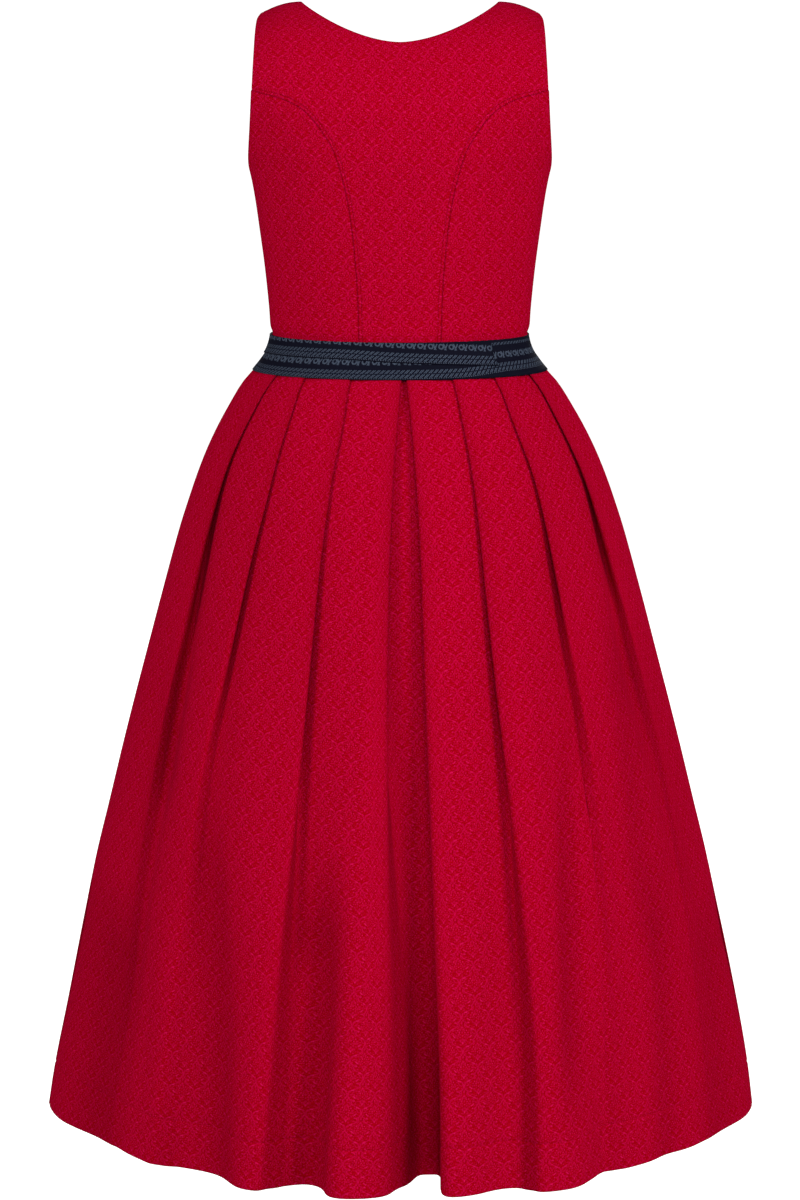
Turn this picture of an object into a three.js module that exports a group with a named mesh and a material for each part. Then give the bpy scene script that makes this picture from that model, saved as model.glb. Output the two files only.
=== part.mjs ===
// Sleeveless dirndl dress: fitted bodice, pleated skirt and a ribbon belt wound twice.
// Units are millimetres and +Z is up. The back of the dress faces -Y, the front faces +Y.
// The origin lies midway between the shoulder seams, at the level where the straps rest.

import * as THREE from 'three';

// Cloth thickness as modelled, and the gap left between neighbouring pieces.
const BODICE_CLOTH = 1.6;
const SKIRT_CLOTH = 1.2;
const RIBBON_CLOTH = 1.0;
const SEAM_GAP = 0.3;

// A slanting seam keeps this share of the gap on either side; its side panel starts this far below.
const SLANT_SHARE = 0.7;
const JUNCTION_GAP = 0.6;

// Sharp corners of the skirt wall are mitred no further than this.
const LEAST_MITRE = 0.6;

// Heights below the shoulder line.
const RIDGE_START = 0.02;
const UNDERARM = 160;
const WAIST_SEAM = 331.2;
const SKIRT_LENGTH = 789.5;
const SKIRT_TOP_Z = -(WAIST_SEAM + SEAM_GAP);
const HEM_Z = SKIRT_TOP_Z - SKIRT_LENGTH;

// Neckline: half the width between the straps, and the depth at the middle.
const NECK_HALF = 98;
const NECK_BACK_DEPTH = 36;
const NECK_BACK_POWER = 1.75;
const NECK_FRONT_DEPTH = 138;

// Shoulder line: rise at the neck, slope outside it, and the height over which both fade.
const SHOULDER_RISE = 1.2;
const SHOULDER_DROP = 0.0076;
const SHOULDER_FADE = 120;

// The shoulders lie a little forward of the waist: how far, and down to which depth.
const MIDDLE_FORWARD = 8;
const MIDDLE_FADE = 100;

// Fullness of the front over each cup: how far out, where, how wide, and where it fades at the side.
const CUP = { out: 14, x: 75, depth: 205, wide: 42, tall: 48, fade: 60 };

// Body form under the bodice. Columns: depth, half width, back depth, front depth.
const FORM = [
  [0, 188, 0, 0],
  [3, 188, 24, 20],
  [10, 188, 43, 36],
  [25, 188, 66, 54],
  [50, 186, 86, 72],
  [80, 179, 99, 88],
  [110, 168, 104, 101],
  [140, 157, 104, 112],
  [160, 149.2, 102.5, 118],
  [184, 144, 99.5, 121],
  [223, 138.3, 94.5, 118],
  [263, 133.1, 89.5, 108],
  [303, 129.2, 85.5, 97],
  [318, 128.2, 84.3, 93.6],
  [326, 125.9, 82.9, 91.6],
  [332, 126.8, 83.3, 91.8],
];

// Roundness of the plan section: 2 is an ellipse. Columns: depth, exponent.
const ROUNDNESS = [[0, 2.25], [240, 2.25], [320, 2], [400, 2]];

// Armhole edges. Columns: depth, distance from the middle.
const ARMHOLE_BACK = [
  [0, 138.6], [3, 140.6], [10, 141.4], [40, 142.6], [79.5, 144.4],
  [110, 146], [135, 147.8], [150, 148.9], [160, 149.2],
];
const ARMHOLE_FRONT = [
  [0, 138.6], [3, 140], [15, 138.6], [40, 134], [70, 130.4],
  [96, 130.5], [120, 135], [140, 142], [152, 147], [160, 149.2],
];

// Shaping seams from the armhole to the waist. Columns: distance from the middle, depth.
const SEAM_BACK = [
  [144.4, 79.5], [134.5, 83.4], [116, 88.6], [97, 97.4], [84, 109], [75, 121],
  [63.5, 141], [57, 162], [50, 193], [44.5, 237], [41.2, 284.5], [40, WAIST_SEAM],
];
const SEAM_FRONT = [
  [130.5, 96], [118, 106], [105, 122], [94, 146], [86, 178],
  [78, 212], [67, 252], [58, 292], [53, WAIST_SEAM],
];

// Outside of the dress under the belt. Columns: height, half width, back, front.
const WAIST_CONE = [
  [-325, 127.8, 84.7, 93.4],
  [-327, 127.5, 84.5, 93.2],
  [-333, 128.5, 85.1, 93.6],
  [-343, 132, 87.6, 95.6],
  [-353, 138.6, 91.4, 98.4],
  [-363, 146.6, 95.5, 101.5],
  [-366, 149.2, 97.4, 103],
];
const BELT_FOOT = WAIST_CONE[5];

// Outline of the skirt from the back. Columns: height, half width.
const SKIRT_OUTLINE = [
  [-363, 146.6], [-368, 152], [-373.4, 156.6], [-383.5, 163.7], [-393.6, 169.7],
  [-418.8, 183.9], [-444, 196.1], [-469.4, 206.3], [-494.7, 215.1], [-520, 223.3],
  [-545.6, 230.6], [-596.6, 244.6], [-647.8, 258.2], [-699.2, 271.8], [-750.8, 285],
  [-802.6, 297.7], [-854.6, 310.6], [-906.8, 321.8], [-959, 332.8], [-1011.7, 343.5],
  [-1064.4, 353.9], [-1090.9, 358.3], [-1121, 362.4],
];

// The skirt hangs a little to one side. Columns: height, shift.
const SKIRT_LEAN = [[-363, 0], [-400, 0.6], [-500, 1.5], [-850, 1.5], [-1000, 2.4], [-1121, 0.6]];
const SKIRT_BACK_RATE = 1.1;
const SKIRT_FRONT_RATE = 0.93;

// Rings of the skirt solids.
const SKIRT_ROWS = [
  SKIRT_TOP_Z, -339, -347, -355, -363, -383, -420, -470, -540,
  -630, -740, -860, -990, HEM_Z,
];

// Folds of one skirt half. The arrays hold a value for each of these heights.
const FOLD_LEVELS = [-350, -400, -460, -540, -640, -780, -940, -1121];

// edge: angle of the fold edge from the centre, in degrees.
// under: how far the cloth runs back behind the edge (below zero, how far it opens).
// deep: how far in the cloth lies behind the edge. crest: how far in the edge lies at the hem.
// rise: shape of the panel next to it at the hem, as share of the way and share of the depth.
const FOLDS = [
  {
    name: 'far_left', faces: 1, crest: 23, rise: [0.3, 0.6, 0.65, 0.1],
    edge: [-57, -59, -61, -61.5, -61.5, -62.5, -62.5, -63],
    under: [18, 19, 18, 12, 2, -10, -20, -28],
    deep: [6.8, 7, 10, 17, 20, 22, 23, 28],
  },
  {
    name: 'mid_left', faces: 1, crest: 24, rise: [0.35, 0.95, 0.72, 0.15],
    edge: [-40.5, -39.2, -39.4, -41, -43, -45.2, -45.6, -46.6],
    under: [20, 20, 20, 15, 5, -12, -26, -34],
    deep: [6.2, 6.6, 8.5, 12, 16, 17, 22, 33],
  },
  {
    name: 'near_left', faces: 1, crest: -3, rise: [0.3, 0.95, 0.48, -0.35],
    edge: [-19.8, -19, -20, -20.6, -20.8, -21, -22, -22.5],
    under: [20, 20, 20, 18, 12, 2, -10, -20],
    deep: [6.2, 6.6, 8.5, 12, 16, 20, 26, 28],
  },
  {
    name: 'centre_left', faces: 1, crest: 0, rise: [0.5, 1, 0.5, 1],
    edge: [0.9, -1, -2.4, -3, -3.2, -2.8, -2.4, -2.5],
    under: [18, 18, 18, 16, 10, -4, -20, -37],
    deep: [6.2, 6.6, 8.5, 12, 16, 22, 36, 78],
  },
  {
    name: 'centre_right', faces: -1, crest: 0, rise: [0.25, 1.1, 0.65, 0.45],
    edge: [2.2, 3.4, 4.2, 4.8, 5.1, 5.6, 6.1, 6.6],
    under: [18, 18, 18, 16, 12, 9, 7, 6],
    deep: [6.2, 6.6, 8.5, 12, 16, 25, 40, 78],
  },
  {
    name: 'near_right', faces: -1, crest: -5, rise: [0.25, 1.1, 0.65, 0.45],
    edge: [21, 20.5, 20.6, 20.6, 21, 22, 22.5, 21.8],
    under: [20, 20, 20, 18, 12, 2, -8, -16],
    deep: [6.2, 6.6, 8.5, 12, 15, 18, 21, 18],
  },
  {
    name: 'mid_right', faces: -1, crest: 25, rise: [0.3, 0.5, 0.6, 0],
    edge: [40, 39.4, 40.8, 41.4, 42.2, 43.2, 42, 41],
    under: [20, 20, 20, 13, 0, -14, -24, -30],
    deep: [6.2, 6.6, 8.5, 14, 17, 16, 21, 30],
  },
  {
    name: 'far_right', faces: -1, crest: 18, rise: [0.35, 0.3, 0.7, -0.3],
    edge: [62.5, 62.3, 64, 65.7, 68, 71, 70.5, 68],
    under: [18, 19, 17, 8, -6, -16, -22, -24],
    deep: [6.8, 7, 9, 15, 16, 14, 17, 23],
  },
];
const HIGH_RISE = [0.3, 0.55, 0.68, 0.1];
const RISE_FADE = [-640, -1121];

// Where the cloth turns behind a fold edge, as shares of the way in.
const TURN_SHARES = [0.42, 0.58];

// Belt ribbon, from its visible end round and in. Columns: turns, off the cloth, top, bottom.
const RIBBON_START_DEG = 43.9;
const RIBBON_COLUMNS_PER_TURN = 64;
const RIBBON_TURNS = 1.75;
const RIBBON_PATH = [
  [0, 2.4, -329.6, -352.4],
  [0.06, 2.4, -328.4, -349.5],
  [0.13, 2.4, -327, -346.6],
  [0.2, 2.4, -326.6, -344.8],
  [0.34, 2.4, -326.6, -347.4],
  [0.45, 2.4, -326.6, -355],
  [0.55, 2.4, -326.6, -363],
  [0.77, 2.4, -326.6, -363],
  [0.87, 1.1, -326.6, -363],
  [2, 1.1, -326.6, -363],
];

// Straight interpolation in a table sorted by its first column, rising or falling.
function look(table, at, column) {
  const sign = table[table.length - 1][0] > table[0][0] ? 1 : -1;
  let i = 0;
  while (i < table.length - 2 && sign * at > sign * table[i + 1][0]) i += 1;
  const span = table[i + 1][0] - table[i][0];
  const t = Math.min(1, Math.max(0, (at - table[i][0]) / span));
  return table[i][column] + (table[i + 1][column] - table[i][column]) * t;
}

// Smooth interpolation through a table, without overshoot between its rows.
function smooth(table, at, column) {
  const sign = table[table.length - 1][0] > table[0][0] ? 1 : -1;
  let i = 0;
  while (i < table.length - 2 && sign * at > sign * table[i + 1][0]) i += 1;
  const slope = (k) => (table[k + 1][column] - table[k][column]) / (table[k + 1][0] - table[k][0]);
  const tangent = (k) => {
    if (k === 0 || k === table.length - 1) return slope(Math.min(k, table.length - 2));
    const before = slope(k - 1);
    const after = slope(k);
    return before * after <= 0 ? 0 : (2 * before * after) / (before + after);
  };
  const span = table[i + 1][0] - table[i][0];
  const t = Math.min(1, Math.max(0, (at - table[i][0]) / span));
  const t2 = t * t;
  const t3 = t2 * t;
  return (2 * t3 - 3 * t2 + 1) * table[i][column] + (t3 - 2 * t2 + t) * span * tangent(i)
    + (3 * t2 - 2 * t3) * table[i + 1][column] + (t3 - t2) * span * tangent(i + 1);
}

// Point of the body form. side is -1 for the back and 1 for the front.
// swing is 0 at the side and 90 degrees at the middle.
function formPoint(side, swing, depth) {
  const h = Math.max(RIDGE_START, depth);
  const half = smooth(FORM, h, 1);
  const round = 2 / look(ROUNDNESS, h, 1);
  const x = half * Math.max(0, Math.cos(swing)) ** round;
  const forward = smooth(FORM, h, side < 0 ? 2 : 3);
  const middle = h < MIDDLE_FADE ? MIDDLE_FORWARD * (1 - h / MIDDLE_FADE) ** 2 : 0;
  let y = forward * Math.max(0, Math.sin(swing)) ** round;
  if (side > 0) {
    const across = (x - CUP.x) / CUP.wide;
    const along = (h - CUP.depth) / CUP.tall;
    y += CUP.out * Math.exp(-across * across - along * along) * Math.min(1, y / CUP.fade);
  }
  const fade = h < SHOULDER_FADE ? (1 - h / SHOULDER_FADE) ** 2 : 0;
  const drop = (SHOULDER_DROP * Math.max(0, x - NECK_HALF) ** 2 - SHOULDER_RISE) * fade;
  return new THREE.Vector3(x, middle + side * y, -h - drop);
}

function swingAt(x, depth) {
  const half = smooth(FORM, Math.max(RIDGE_START, depth), 1);
  const share = Math.min(1, Math.max(0, x / half));
  return Math.acos(share ** (look(ROUNDNESS, depth, 1) / 2));
}

function formNormal(side, swing, depth) {
  const stepSwing = 0.01;
  const stepDepth = 0.4;
  const s0 = Math.max(0.001, swing - stepSwing);
  const s1 = Math.min(Math.PI / 2, swing + stepSwing);
  const h0 = Math.max(RIDGE_START, depth - stepDepth);
  const across = formPoint(side, s1, depth).sub(formPoint(side, s0, depth));
  const down = formPoint(side, swing, depth + stepDepth).sub(formPoint(side, swing, h0));
  const normal = across.cross(down).multiplyScalar(side < 0 ? 1 : -1);
  return normal.normalize();
}

// Turns a sheet of points, normals and faces into a closed wall.
function wall(name, sheet, inward, outward, material) {
  const count = sheet.points.length;
  const positions = [];
  for (const reach of [outward, -inward]) {
    sheet.points.forEach((point, i) => {
      const moved = point.clone().addScaledVector(sheet.normals[i], reach);
      positions.push(moved.x, moved.y, moved.z);
    });
  }
  const edges = new Map();
  const index = [];
  for (const face of sheet.faces) {
    const [a, b, c] = face;
    index.push(a, b, c, a + count, c + count, b + count);
    edges.set(`${a}_${b}`, [a, b]);
    edges.set(`${b}_${c}`, [b, c]);
    edges.set(`${c}_${a}`, [c, a]);
  }
  for (const [a, b] of edges.values()) {
    if (edges.has(`${b}_${a}`)) continue;
    index.push(b, a, a + count, b, a + count, b + count);
  }
  const geometry = new THREE.BufferGeometry();
  geometry.setAttribute('position', new THREE.Float32BufferAttribute(positions, 3));
  geometry.setIndex(index);
  geometry.computeVertexNormals();
  const mesh = new THREE.Mesh(geometry, material);
  mesh.name = name;
  return mesh;
}

// Splits each cell of a grid of point numbers into two faces that look along the normals.
function gridFaces(grid, points, normals) {
  const faces = [];
  const add = (a, b, c) => {
    const ab = points[b].clone().sub(points[a]);
    const ac = points[c].clone().sub(points[a]);
    const facing = ab.cross(ac).dot(normals[a].clone().add(normals[b]).add(normals[c]));
    faces.push(facing > 0 ? [a, b, c] : [a, c, b]);
  };
  for (let r = 0; r < grid.length - 1; r += 1) {
    for (let c = 0; c < grid[r].length - 1; c += 1) {
      const one = grid[r][c];
      const two = grid[r][c + 1];
      const three = grid[r + 1][c + 1];
      const four = grid[r + 1][c];
      const cutA = points[one].distanceTo(points[three]);
      const cutB = points[two].distanceTo(points[four]);
      if (cutA < cutB) {
        add(one, two, three);
        add(one, three, four);
      } else {
        add(one, two, four);
        add(two, three, four);
      }
    }
  }
  return faces;
}

// A line of [x, depth] points that can be asked for the point at a length along it.
function line(points) {
  const lengths = [0];
  for (let i = 1; i < points.length; i += 1) {
    const step = Math.hypot(points[i][0] - points[i - 1][0], points[i][1] - points[i - 1][1]);
    lengths.push(lengths[i - 1] + step);
  }
  const total = lengths[lengths.length - 1];
  const at = (length) => {
    const xs = points.map((point, i) => [lengths[i], point[0], point[1]]);
    return [look(xs, length, 1), look(xs, length, 2)];
  };
  return { total, at };
}

// The seam line as a smooth curve, moved sideways by half the gap.
function seamLine(table, move) {
  const knots = table.map((row) => new THREE.Vector3(row[0], row[1], 0));
  const curve = new THREE.CatmullRomCurve3(knots, false, 'centripetal');
  const fine = curve.getPoints(72);
  return fine.map((point, i) => {
    const before = fine[Math.max(0, i - 1)];
    const after = fine[Math.min(fine.length - 1, i + 1)];
    const along = after.clone().sub(before).normalize();
    const atEnd = i === 0 || i === fine.length - 1;
    return [point.x + along.y * move, atEnd ? point.y : point.y - along.x * move];
  });
}

function armholeLine(table, from, to, steps) {
  const points = [];
  for (let i = 0; i <= steps; i += 1) {
    const depth = from + (to - from) * (i / steps);
    points.push([smooth(table, depth, 1), depth]);
  }
  return points;
}

// Half of the neckline, from the strap to the middle.
function neckLine(depth, power, steps) {
  const points = [];
  for (let i = 0; i <= steps; i += 1) {
    const turn = (Math.PI / 2) * (i / steps);
    const x = NECK_HALF * Math.cos(turn) ** (2 / power);
    points.push([x, RIDGE_START + depth * Math.sin(turn) ** (2 / power)]);
  }
  points[steps][0] = 0;
  return points;
}

function backNeckLine(steps) {
  const points = [];
  for (let i = 0; i <= steps; i += 1) {
    const x = NECK_HALF * (1 - i / steps);
    points.push([x, RIDGE_START + NECK_BACK_DEPTH * (1 - (x / NECK_HALF) ** NECK_BACK_POWER)]);
  }
  return points;
}

// Middle panel: rows run from the neckline and the middle line out to armhole and seam.
// stations holds lengths along the inner and outer edge, with the rows up to each.
function middlePanel(side, neck, armhole, seam, stations, columns) {
  const inner = line([...neck, [0, WAIST_SEAM]]);
  const outer = line([...armhole, ...seam.slice(1)]);
  const rows = [];
  stations.forEach((station, i) => {
    if (i === 0) {
      rows.push([station.inner, station.outer]);
      return;
    }
    const last = stations[i - 1];
    for (let k = 1; k <= station.rows; k += 1) {
      const t = k / station.rows;
      const innerAt = last.inner + (station.inner - last.inner) * t;
      rows.push([innerAt, last.outer + (station.outer - last.outer) * t]);
    }
  });
  const points = [];
  const normals = [];
  const put = (x, depth, mirror) => {
    const swing = swingAt(x, depth);
    const point = formPoint(side, swing, depth);
    const normal = formNormal(side, swing, depth);
    if (x < 1e-6) {
      point.x = 0;
      normal.x = 0;
      normal.normalize();
    }
    if (mirror) {
      point.x = -point.x;
      normal.x = -normal.x;
    }
    points.push(point);
    normals.push(normal);
    return points.length - 1;
  };
  const right = [];
  const left = [];
  for (const [innerAt, outerAt] of rows) {
    const from = inner.at(innerAt);
    const to = outer.at(outerAt);
    const rightRow = [];
    const leftRow = [];
    for (let c = 0; c <= columns; c += 1) {
      const t = c / columns;
      const x = from[0] + (to[0] - from[0]) * t;
      const depth = from[1] + (to[1] - from[1]) * t;
      rightRow.push(put(x, depth, false));
      leftRow.push(x < 1e-6 ? rightRow[c] : put(x, depth, true));
    }
    right.push(rightRow);
    left.push(leftRow);
  }
  const faces = [...gridFaces(right, points, normals), ...gridFaces(left, points, normals)];
  const armTotal = line(armhole).total;
  const seamRows = rows.filter((row) => row[1] > armTotal - 1e-6);
  const shares = seamRows.map((row) => (row[1] - armTotal) / (outer.total - armTotal));
  return { points, normals, faces, shares };
}

// Side panel between shaping seam, armhole, side seam and waist, blended from its edges.
// shares says how far down the seam each row lies, as on the middle panel beside it.
function sidePanel(side, sign, seam, armholeTable, junction, columns, shares) {
  const seamPath = line(seam);
  const top = line(armholeLine(armholeTable, junction, UNDERARM, 24));
  const sideSwing = (depth) => {
    const forward = smooth(FORM, depth, side < 0 ? 2 : 3);
    return Math.asin((SEAM_GAP / 2 / forward) ** (look(ROUNDNESS, depth, 1) / 2));
  };
  const toSwing = (place) => [swingAt(place[0], place[1]), place[1]];
  const seamAt = (v) => toSwing(seamPath.at(seamPath.total * v));
  const topAt = (c) => {
    const place = toSwing(top.at(top.total * c));
    return [Math.max(place[0], sideSwing(place[1])), place[1]];
  };
  const sideAt = (v) => {
    const depth = UNDERARM + (WAIST_SEAM - UNDERARM) * v;
    return [sideSwing(depth), depth];
  };
  const bottomAt = (c) => {
    const from = seamAt(1)[0];
    return [from + (sideSwing(WAIST_SEAM) - from) * c, WAIST_SEAM];
  };
  const points = [];
  const normals = [];
  const grid = [];
  for (const v of shares) {
    const numbers = [];
    for (let k = 0; k <= columns; k += 1) {
      const c = k / columns;
      const place = [0, 1].map((i) => (1 - c) * seamAt(v)[i] + c * sideAt(v)[i]
        + (1 - v) * topAt(c)[i] + v * bottomAt(c)[i]
        - (1 - c) * (1 - v) * seamAt(0)[i] - c * (1 - v) * sideAt(0)[i]
        - (1 - c) * v * seamAt(1)[i] - c * v * sideAt(1)[i]);
      const point = formPoint(side, place[0], place[1]);
      const normal = formNormal(side, place[0], place[1]);
      if (k === columns) {
        normal.y = 0;
        normal.normalize();
      }
      point.x *= sign;
      normal.x *= sign;
      points.push(point);
      normals.push(normal);
      numbers.push(points.length - 1);
    }
    grid.push(numbers);
  }
  return { points, normals, faces: gridFaces(grid, points, normals) };
}

// Outside size of the skirt at a height. Returns half width, back and front depth.
function skirtSize(z) {
  if (z > BELT_FOOT[0]) return [1, 2, 3].map((column) => smooth(WAIST_CONE, z, column));
  const half = smooth(SKIRT_OUTLINE, z, 1);
  const more = half - SKIRT_OUTLINE[0][1];
  return [half, BELT_FOOT[2] + more * SKIRT_BACK_RATE, BELT_FOOT[3] + more * SKIRT_FRONT_RATE];
}

// Corner points of the skirt cloth in one ring, before rounding. x, y and samples wanted.
function foldCorners(z, depthColumn) {
  const size = skirtSize(z);
  const wide = size[0] - SKIRT_CLOTH / 2;
  const far = size[depthColumn] - SKIRT_CLOTH / 2;
  const fade = Math.min(1, Math.max(0, (z - RISE_FADE[0]) / (RISE_FADE[1] - RISE_FADE[0])));
  const low = fade * fade * (3 - 2 * fade);
  const value = (array) => smooth(FOLD_LEVELS.map((level, i) => [level, array[i]]), z, 1);
  const corners = [];
  const put = (angle, deep, samples) => {
    const outX = far * Math.sin(angle);
    const outY = -wide * Math.cos(angle);
    const outLength = Math.hypot(outX, outY);
    const x = wide * Math.sin(angle) - (deep * outX) / outLength;
    const y = -far * Math.cos(angle) - (deep * outY) / outLength;
    corners.push({ x, y, samples });
  };
  const perMm = (angle) => 1 / Math.hypot(wide * Math.cos(angle), far * Math.sin(angle));
  const folds = FOLDS.map((fold) => {
    const edge = THREE.MathUtils.degToRad(value(fold.edge));
    const under = value(fold.under) * perMm(edge) * fold.faces;
    const opened = Math.min(0, under * fold.faces) * fold.faces;
    const crest = fold.crest * low;
    const deep = Math.max(value(fold.deep), crest + 4);
    const rise = fold.rise.map((share, k) => HIGH_RISE[k] + (share - HIGH_RISE[k]) * low);
    return {
      rise, crest, deep, edge, faces: fold.faces,
      edgeIn: edge - opened / 3, back: edge - under + opened / 3, floor: edge - under,
    };
  });
  const edgeCorners = (fold) => [
    [fold.edge, fold.crest],
    [fold.edgeIn, fold.crest + TURN_SHARES[0] * (fold.deep - fold.crest)],
    [fold.back, fold.crest + TURN_SHARES[1] * (fold.deep - fold.crest)],
    [fold.floor, fold.deep],
  ];
  const right = Math.PI / 2;
  const first = folds[0];
  const last = folds[folds.length - 1];
  put(-right, 0, 1);
  put(-right + (first.edge + right) * 0.3, first.crest * 0.15, 1);
  put(-right + (first.edge + right) * 0.7, first.crest * 0.7, 1);
  folds.forEach((fold, i) => {
    const points = edgeCorners(fold);
    if (fold.faces < 0) points.reverse();
    points.forEach((point) => put(point[0], point[1], 2));
    const next = folds[i + 1];
    if (!next) return;
    if (fold.faces > 0 && next.faces < 0) {
      put((fold.floor + next.floor) / 2, Math.max(fold.deep, next.deep) + 0.4, 1);
      return;
    }
    const from = fold.faces > 0 ? fold.floor : next.floor;
    const to = fold.faces > 0 ? next.edge : fold.edge;
    const deep = fold.faces > 0 ? fold.deep : next.deep;
    const crest = fold.faces > 0 ? next.crest : fold.crest;
    const rise = fold.faces > 0 ? fold.rise : next.rise;
    const panel = [[rise[0], rise[1]], [rise[2], rise[3]]];
    if (fold.faces < 0) panel.reverse();
    panel.forEach(([way, share]) => put(from + (to - from) * way, crest + (deep - crest) * share, 1));
  });
  put(right - (right - last.edge) * 0.7, last.crest * 0.7, 1);
  put(right - (right - last.edge) * 0.3, last.crest * 0.15, 1);
  put(right, 0, 1);
  return corners;
}

// Rounds the corners with a quadratic spline and returns the ring as [x, y] points.
function roundedRing(corners) {
  const ring = [[corners[0].x, corners[0].y]];
  for (let i = 1; i < corners.length - 1; i += 1) {
    const isFirst = i === 1;
    const isLast = i === corners.length - 2;
    const a = corners[i - 1];
    const b = corners[i];
    const c = corners[i + 1];
    const start = isFirst ? [a.x, a.y] : [(a.x + b.x) / 2, (a.y + b.y) / 2];
    const end = isLast ? [c.x, c.y] : [(b.x + c.x) / 2, (b.y + c.y) / 2];
    const at = (t) => [0, 1].map((k) => {
      const corner = k === 0 ? b.x : b.y;
      return (1 - t) * (1 - t) * start[k] + 2 * t * (1 - t) * corner + t * t * end[k];
    });
    if (b.samples > 1) ring.push(at(0.5));
    ring.push(at(1));
  }
  return ring;
}

// Sideways normals of a ring, lengthened at bends so that the wall keeps its thickness.
function ringNormals(ring) {
  const flat = (a, b) => {
    const length = Math.hypot(b[0] - a[0], b[1] - a[1]);
    return [(b[1] - a[1]) / length, -(b[0] - a[0]) / length];
  };
  return ring.map((point, i) => {
    if (i === 0) return new THREE.Vector3(-1, 0, 0);
    if (i === ring.length - 1) return new THREE.Vector3(1, 0, 0);
    const one = flat(ring[i - 1], point);
    const two = flat(point, ring[i + 1]);
    const sum = new THREE.Vector3(one[0] + two[0], one[1] + two[1], 0);
    const half = sum.length() / 2;
    return sum.normalize().multiplyScalar(1 / Math.max(LEAST_MITRE, half));
  });
}

// One skirt half. turned sets it on the front, turned half round about the middle.
function skirtPanel(depthColumn, turned) {
  const points = [];
  const normals = [];
  const grid = [];
  for (const z of SKIRT_ROWS) {
    const ring = roundedRing(foldCorners(z, depthColumn));
    const lean = smooth(SKIRT_LEAN, z, 1);
    ring[0][1] = -SEAM_GAP / 2;
    ring[ring.length - 1][1] = -SEAM_GAP / 2;
    const across = ringNormals(ring);
    const numbers = ring.map((point, i) => {
      const normal = across[i];
      points.push(new THREE.Vector3(point[0] * turned + lean, point[1] * turned, z));
      normals.push(new THREE.Vector3(normal.x * turned, normal.y * turned, 0));
      return points.length - 1;
    });
    grid.push(numbers);
  }
  return { points, normals, faces: gridFaces(grid, points, normals) };
}

// The belt ribbon as one strip that winds in towards the waist.
function ribbonStrip(rows) {
  const columns = Math.round(RIBBON_TURNS * RIBBON_COLUMNS_PER_TURN);
  const points = [];
  const normals = [];
  const grid = [];
  const conePoint = (angle, z) => {
    const half = smooth(WAIST_CONE, z, 1);
    const back = smooth(WAIST_CONE, z, Math.cos(angle) > 0 ? 2 : 3);
    return new THREE.Vector3(half * Math.sin(angle), -back * Math.cos(angle), z);
  };
  for (let r = 0; r <= rows; r += 1) {
    const numbers = [];
    for (let c = 0; c <= columns; c += 1) {
      const turn = c / RIBBON_COLUMNS_PER_TURN;
      const angle = THREE.MathUtils.degToRad(RIBBON_START_DEG) - turn * Math.PI * 2;
      const top = smooth(RIBBON_PATH, turn, 2);
      const bottom = smooth(RIBBON_PATH, turn, 3);
      const z = top + (bottom - top) * (r / rows);
      const across = conePoint(angle + 0.01, z).sub(conePoint(angle - 0.01, z));
      const down = conePoint(angle, z - 0.5).sub(conePoint(angle, z + 0.5));
      const normal = down.cross(across).normalize();
      const off = smooth(RIBBON_PATH, turn, 1);
      points.push(conePoint(angle, z).addScaledVector(normal, off));
      normals.push(normal);
      numbers.push(points.length - 1);
    }
    grid.push(numbers);
  }
  return { points, normals, faces: gridFaces(grid, points, normals) };
}

const redCloth = new THREE.MeshStandardMaterial({ color: '#b8032b', roughness: 0.72, metalness: 0 });
const ribbonCloth = new THREE.MeshStandardMaterial({ color: '#1c2233', roughness: 0.75, metalness: 0 });

const dress = new THREE.Group();
dress.name = 'dirndl';

const bodice = new THREE.Group();
bodice.name = 'bodice';
dress.add(bodice);

const panelSides = [
  {
    name: 'back', side: -1, armhole: ARMHOLE_BACK, seam: SEAM_BACK, junction: 79.5,
    neck: backNeckLine(24), columns: 7,
    stations: (neck, arm, end) => [
      { inner: 0, outer: 0 },
      { inner: neck, outer: arm * 0.62, rows: 6 },
      { inner: neck + 28, outer: arm, rows: 2 },
      { inner: neck + 62, outer: arm + 52, rows: 4 },
      { inner: end.inner - 15, outer: end.outer - 15, rows: 7 },
      { inner: end.inner - 5, outer: end.outer - 5, rows: 2 },
      { inner: end.inner, outer: end.outer, rows: 1 },
    ],
  },
  {
    name: 'front', side: 1, armhole: ARMHOLE_FRONT, seam: SEAM_FRONT, junction: 96,
    neck: neckLine(NECK_FRONT_DEPTH, 2.5, 24), columns: 6,
    stations: (neck, arm, end) => [
      { inner: 0, outer: 0 },
      { inner: neck * 0.55, outer: arm, rows: 7 },
      { inner: neck, outer: arm + 70, rows: 6 },
      { inner: end.inner - 15, outer: end.outer - 15, rows: 6 },
      { inner: end.inner - 5, outer: end.outer - 5, rows: 2 },
      { inner: end.inner, outer: end.outer, rows: 1 },
    ],
  },
];

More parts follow.
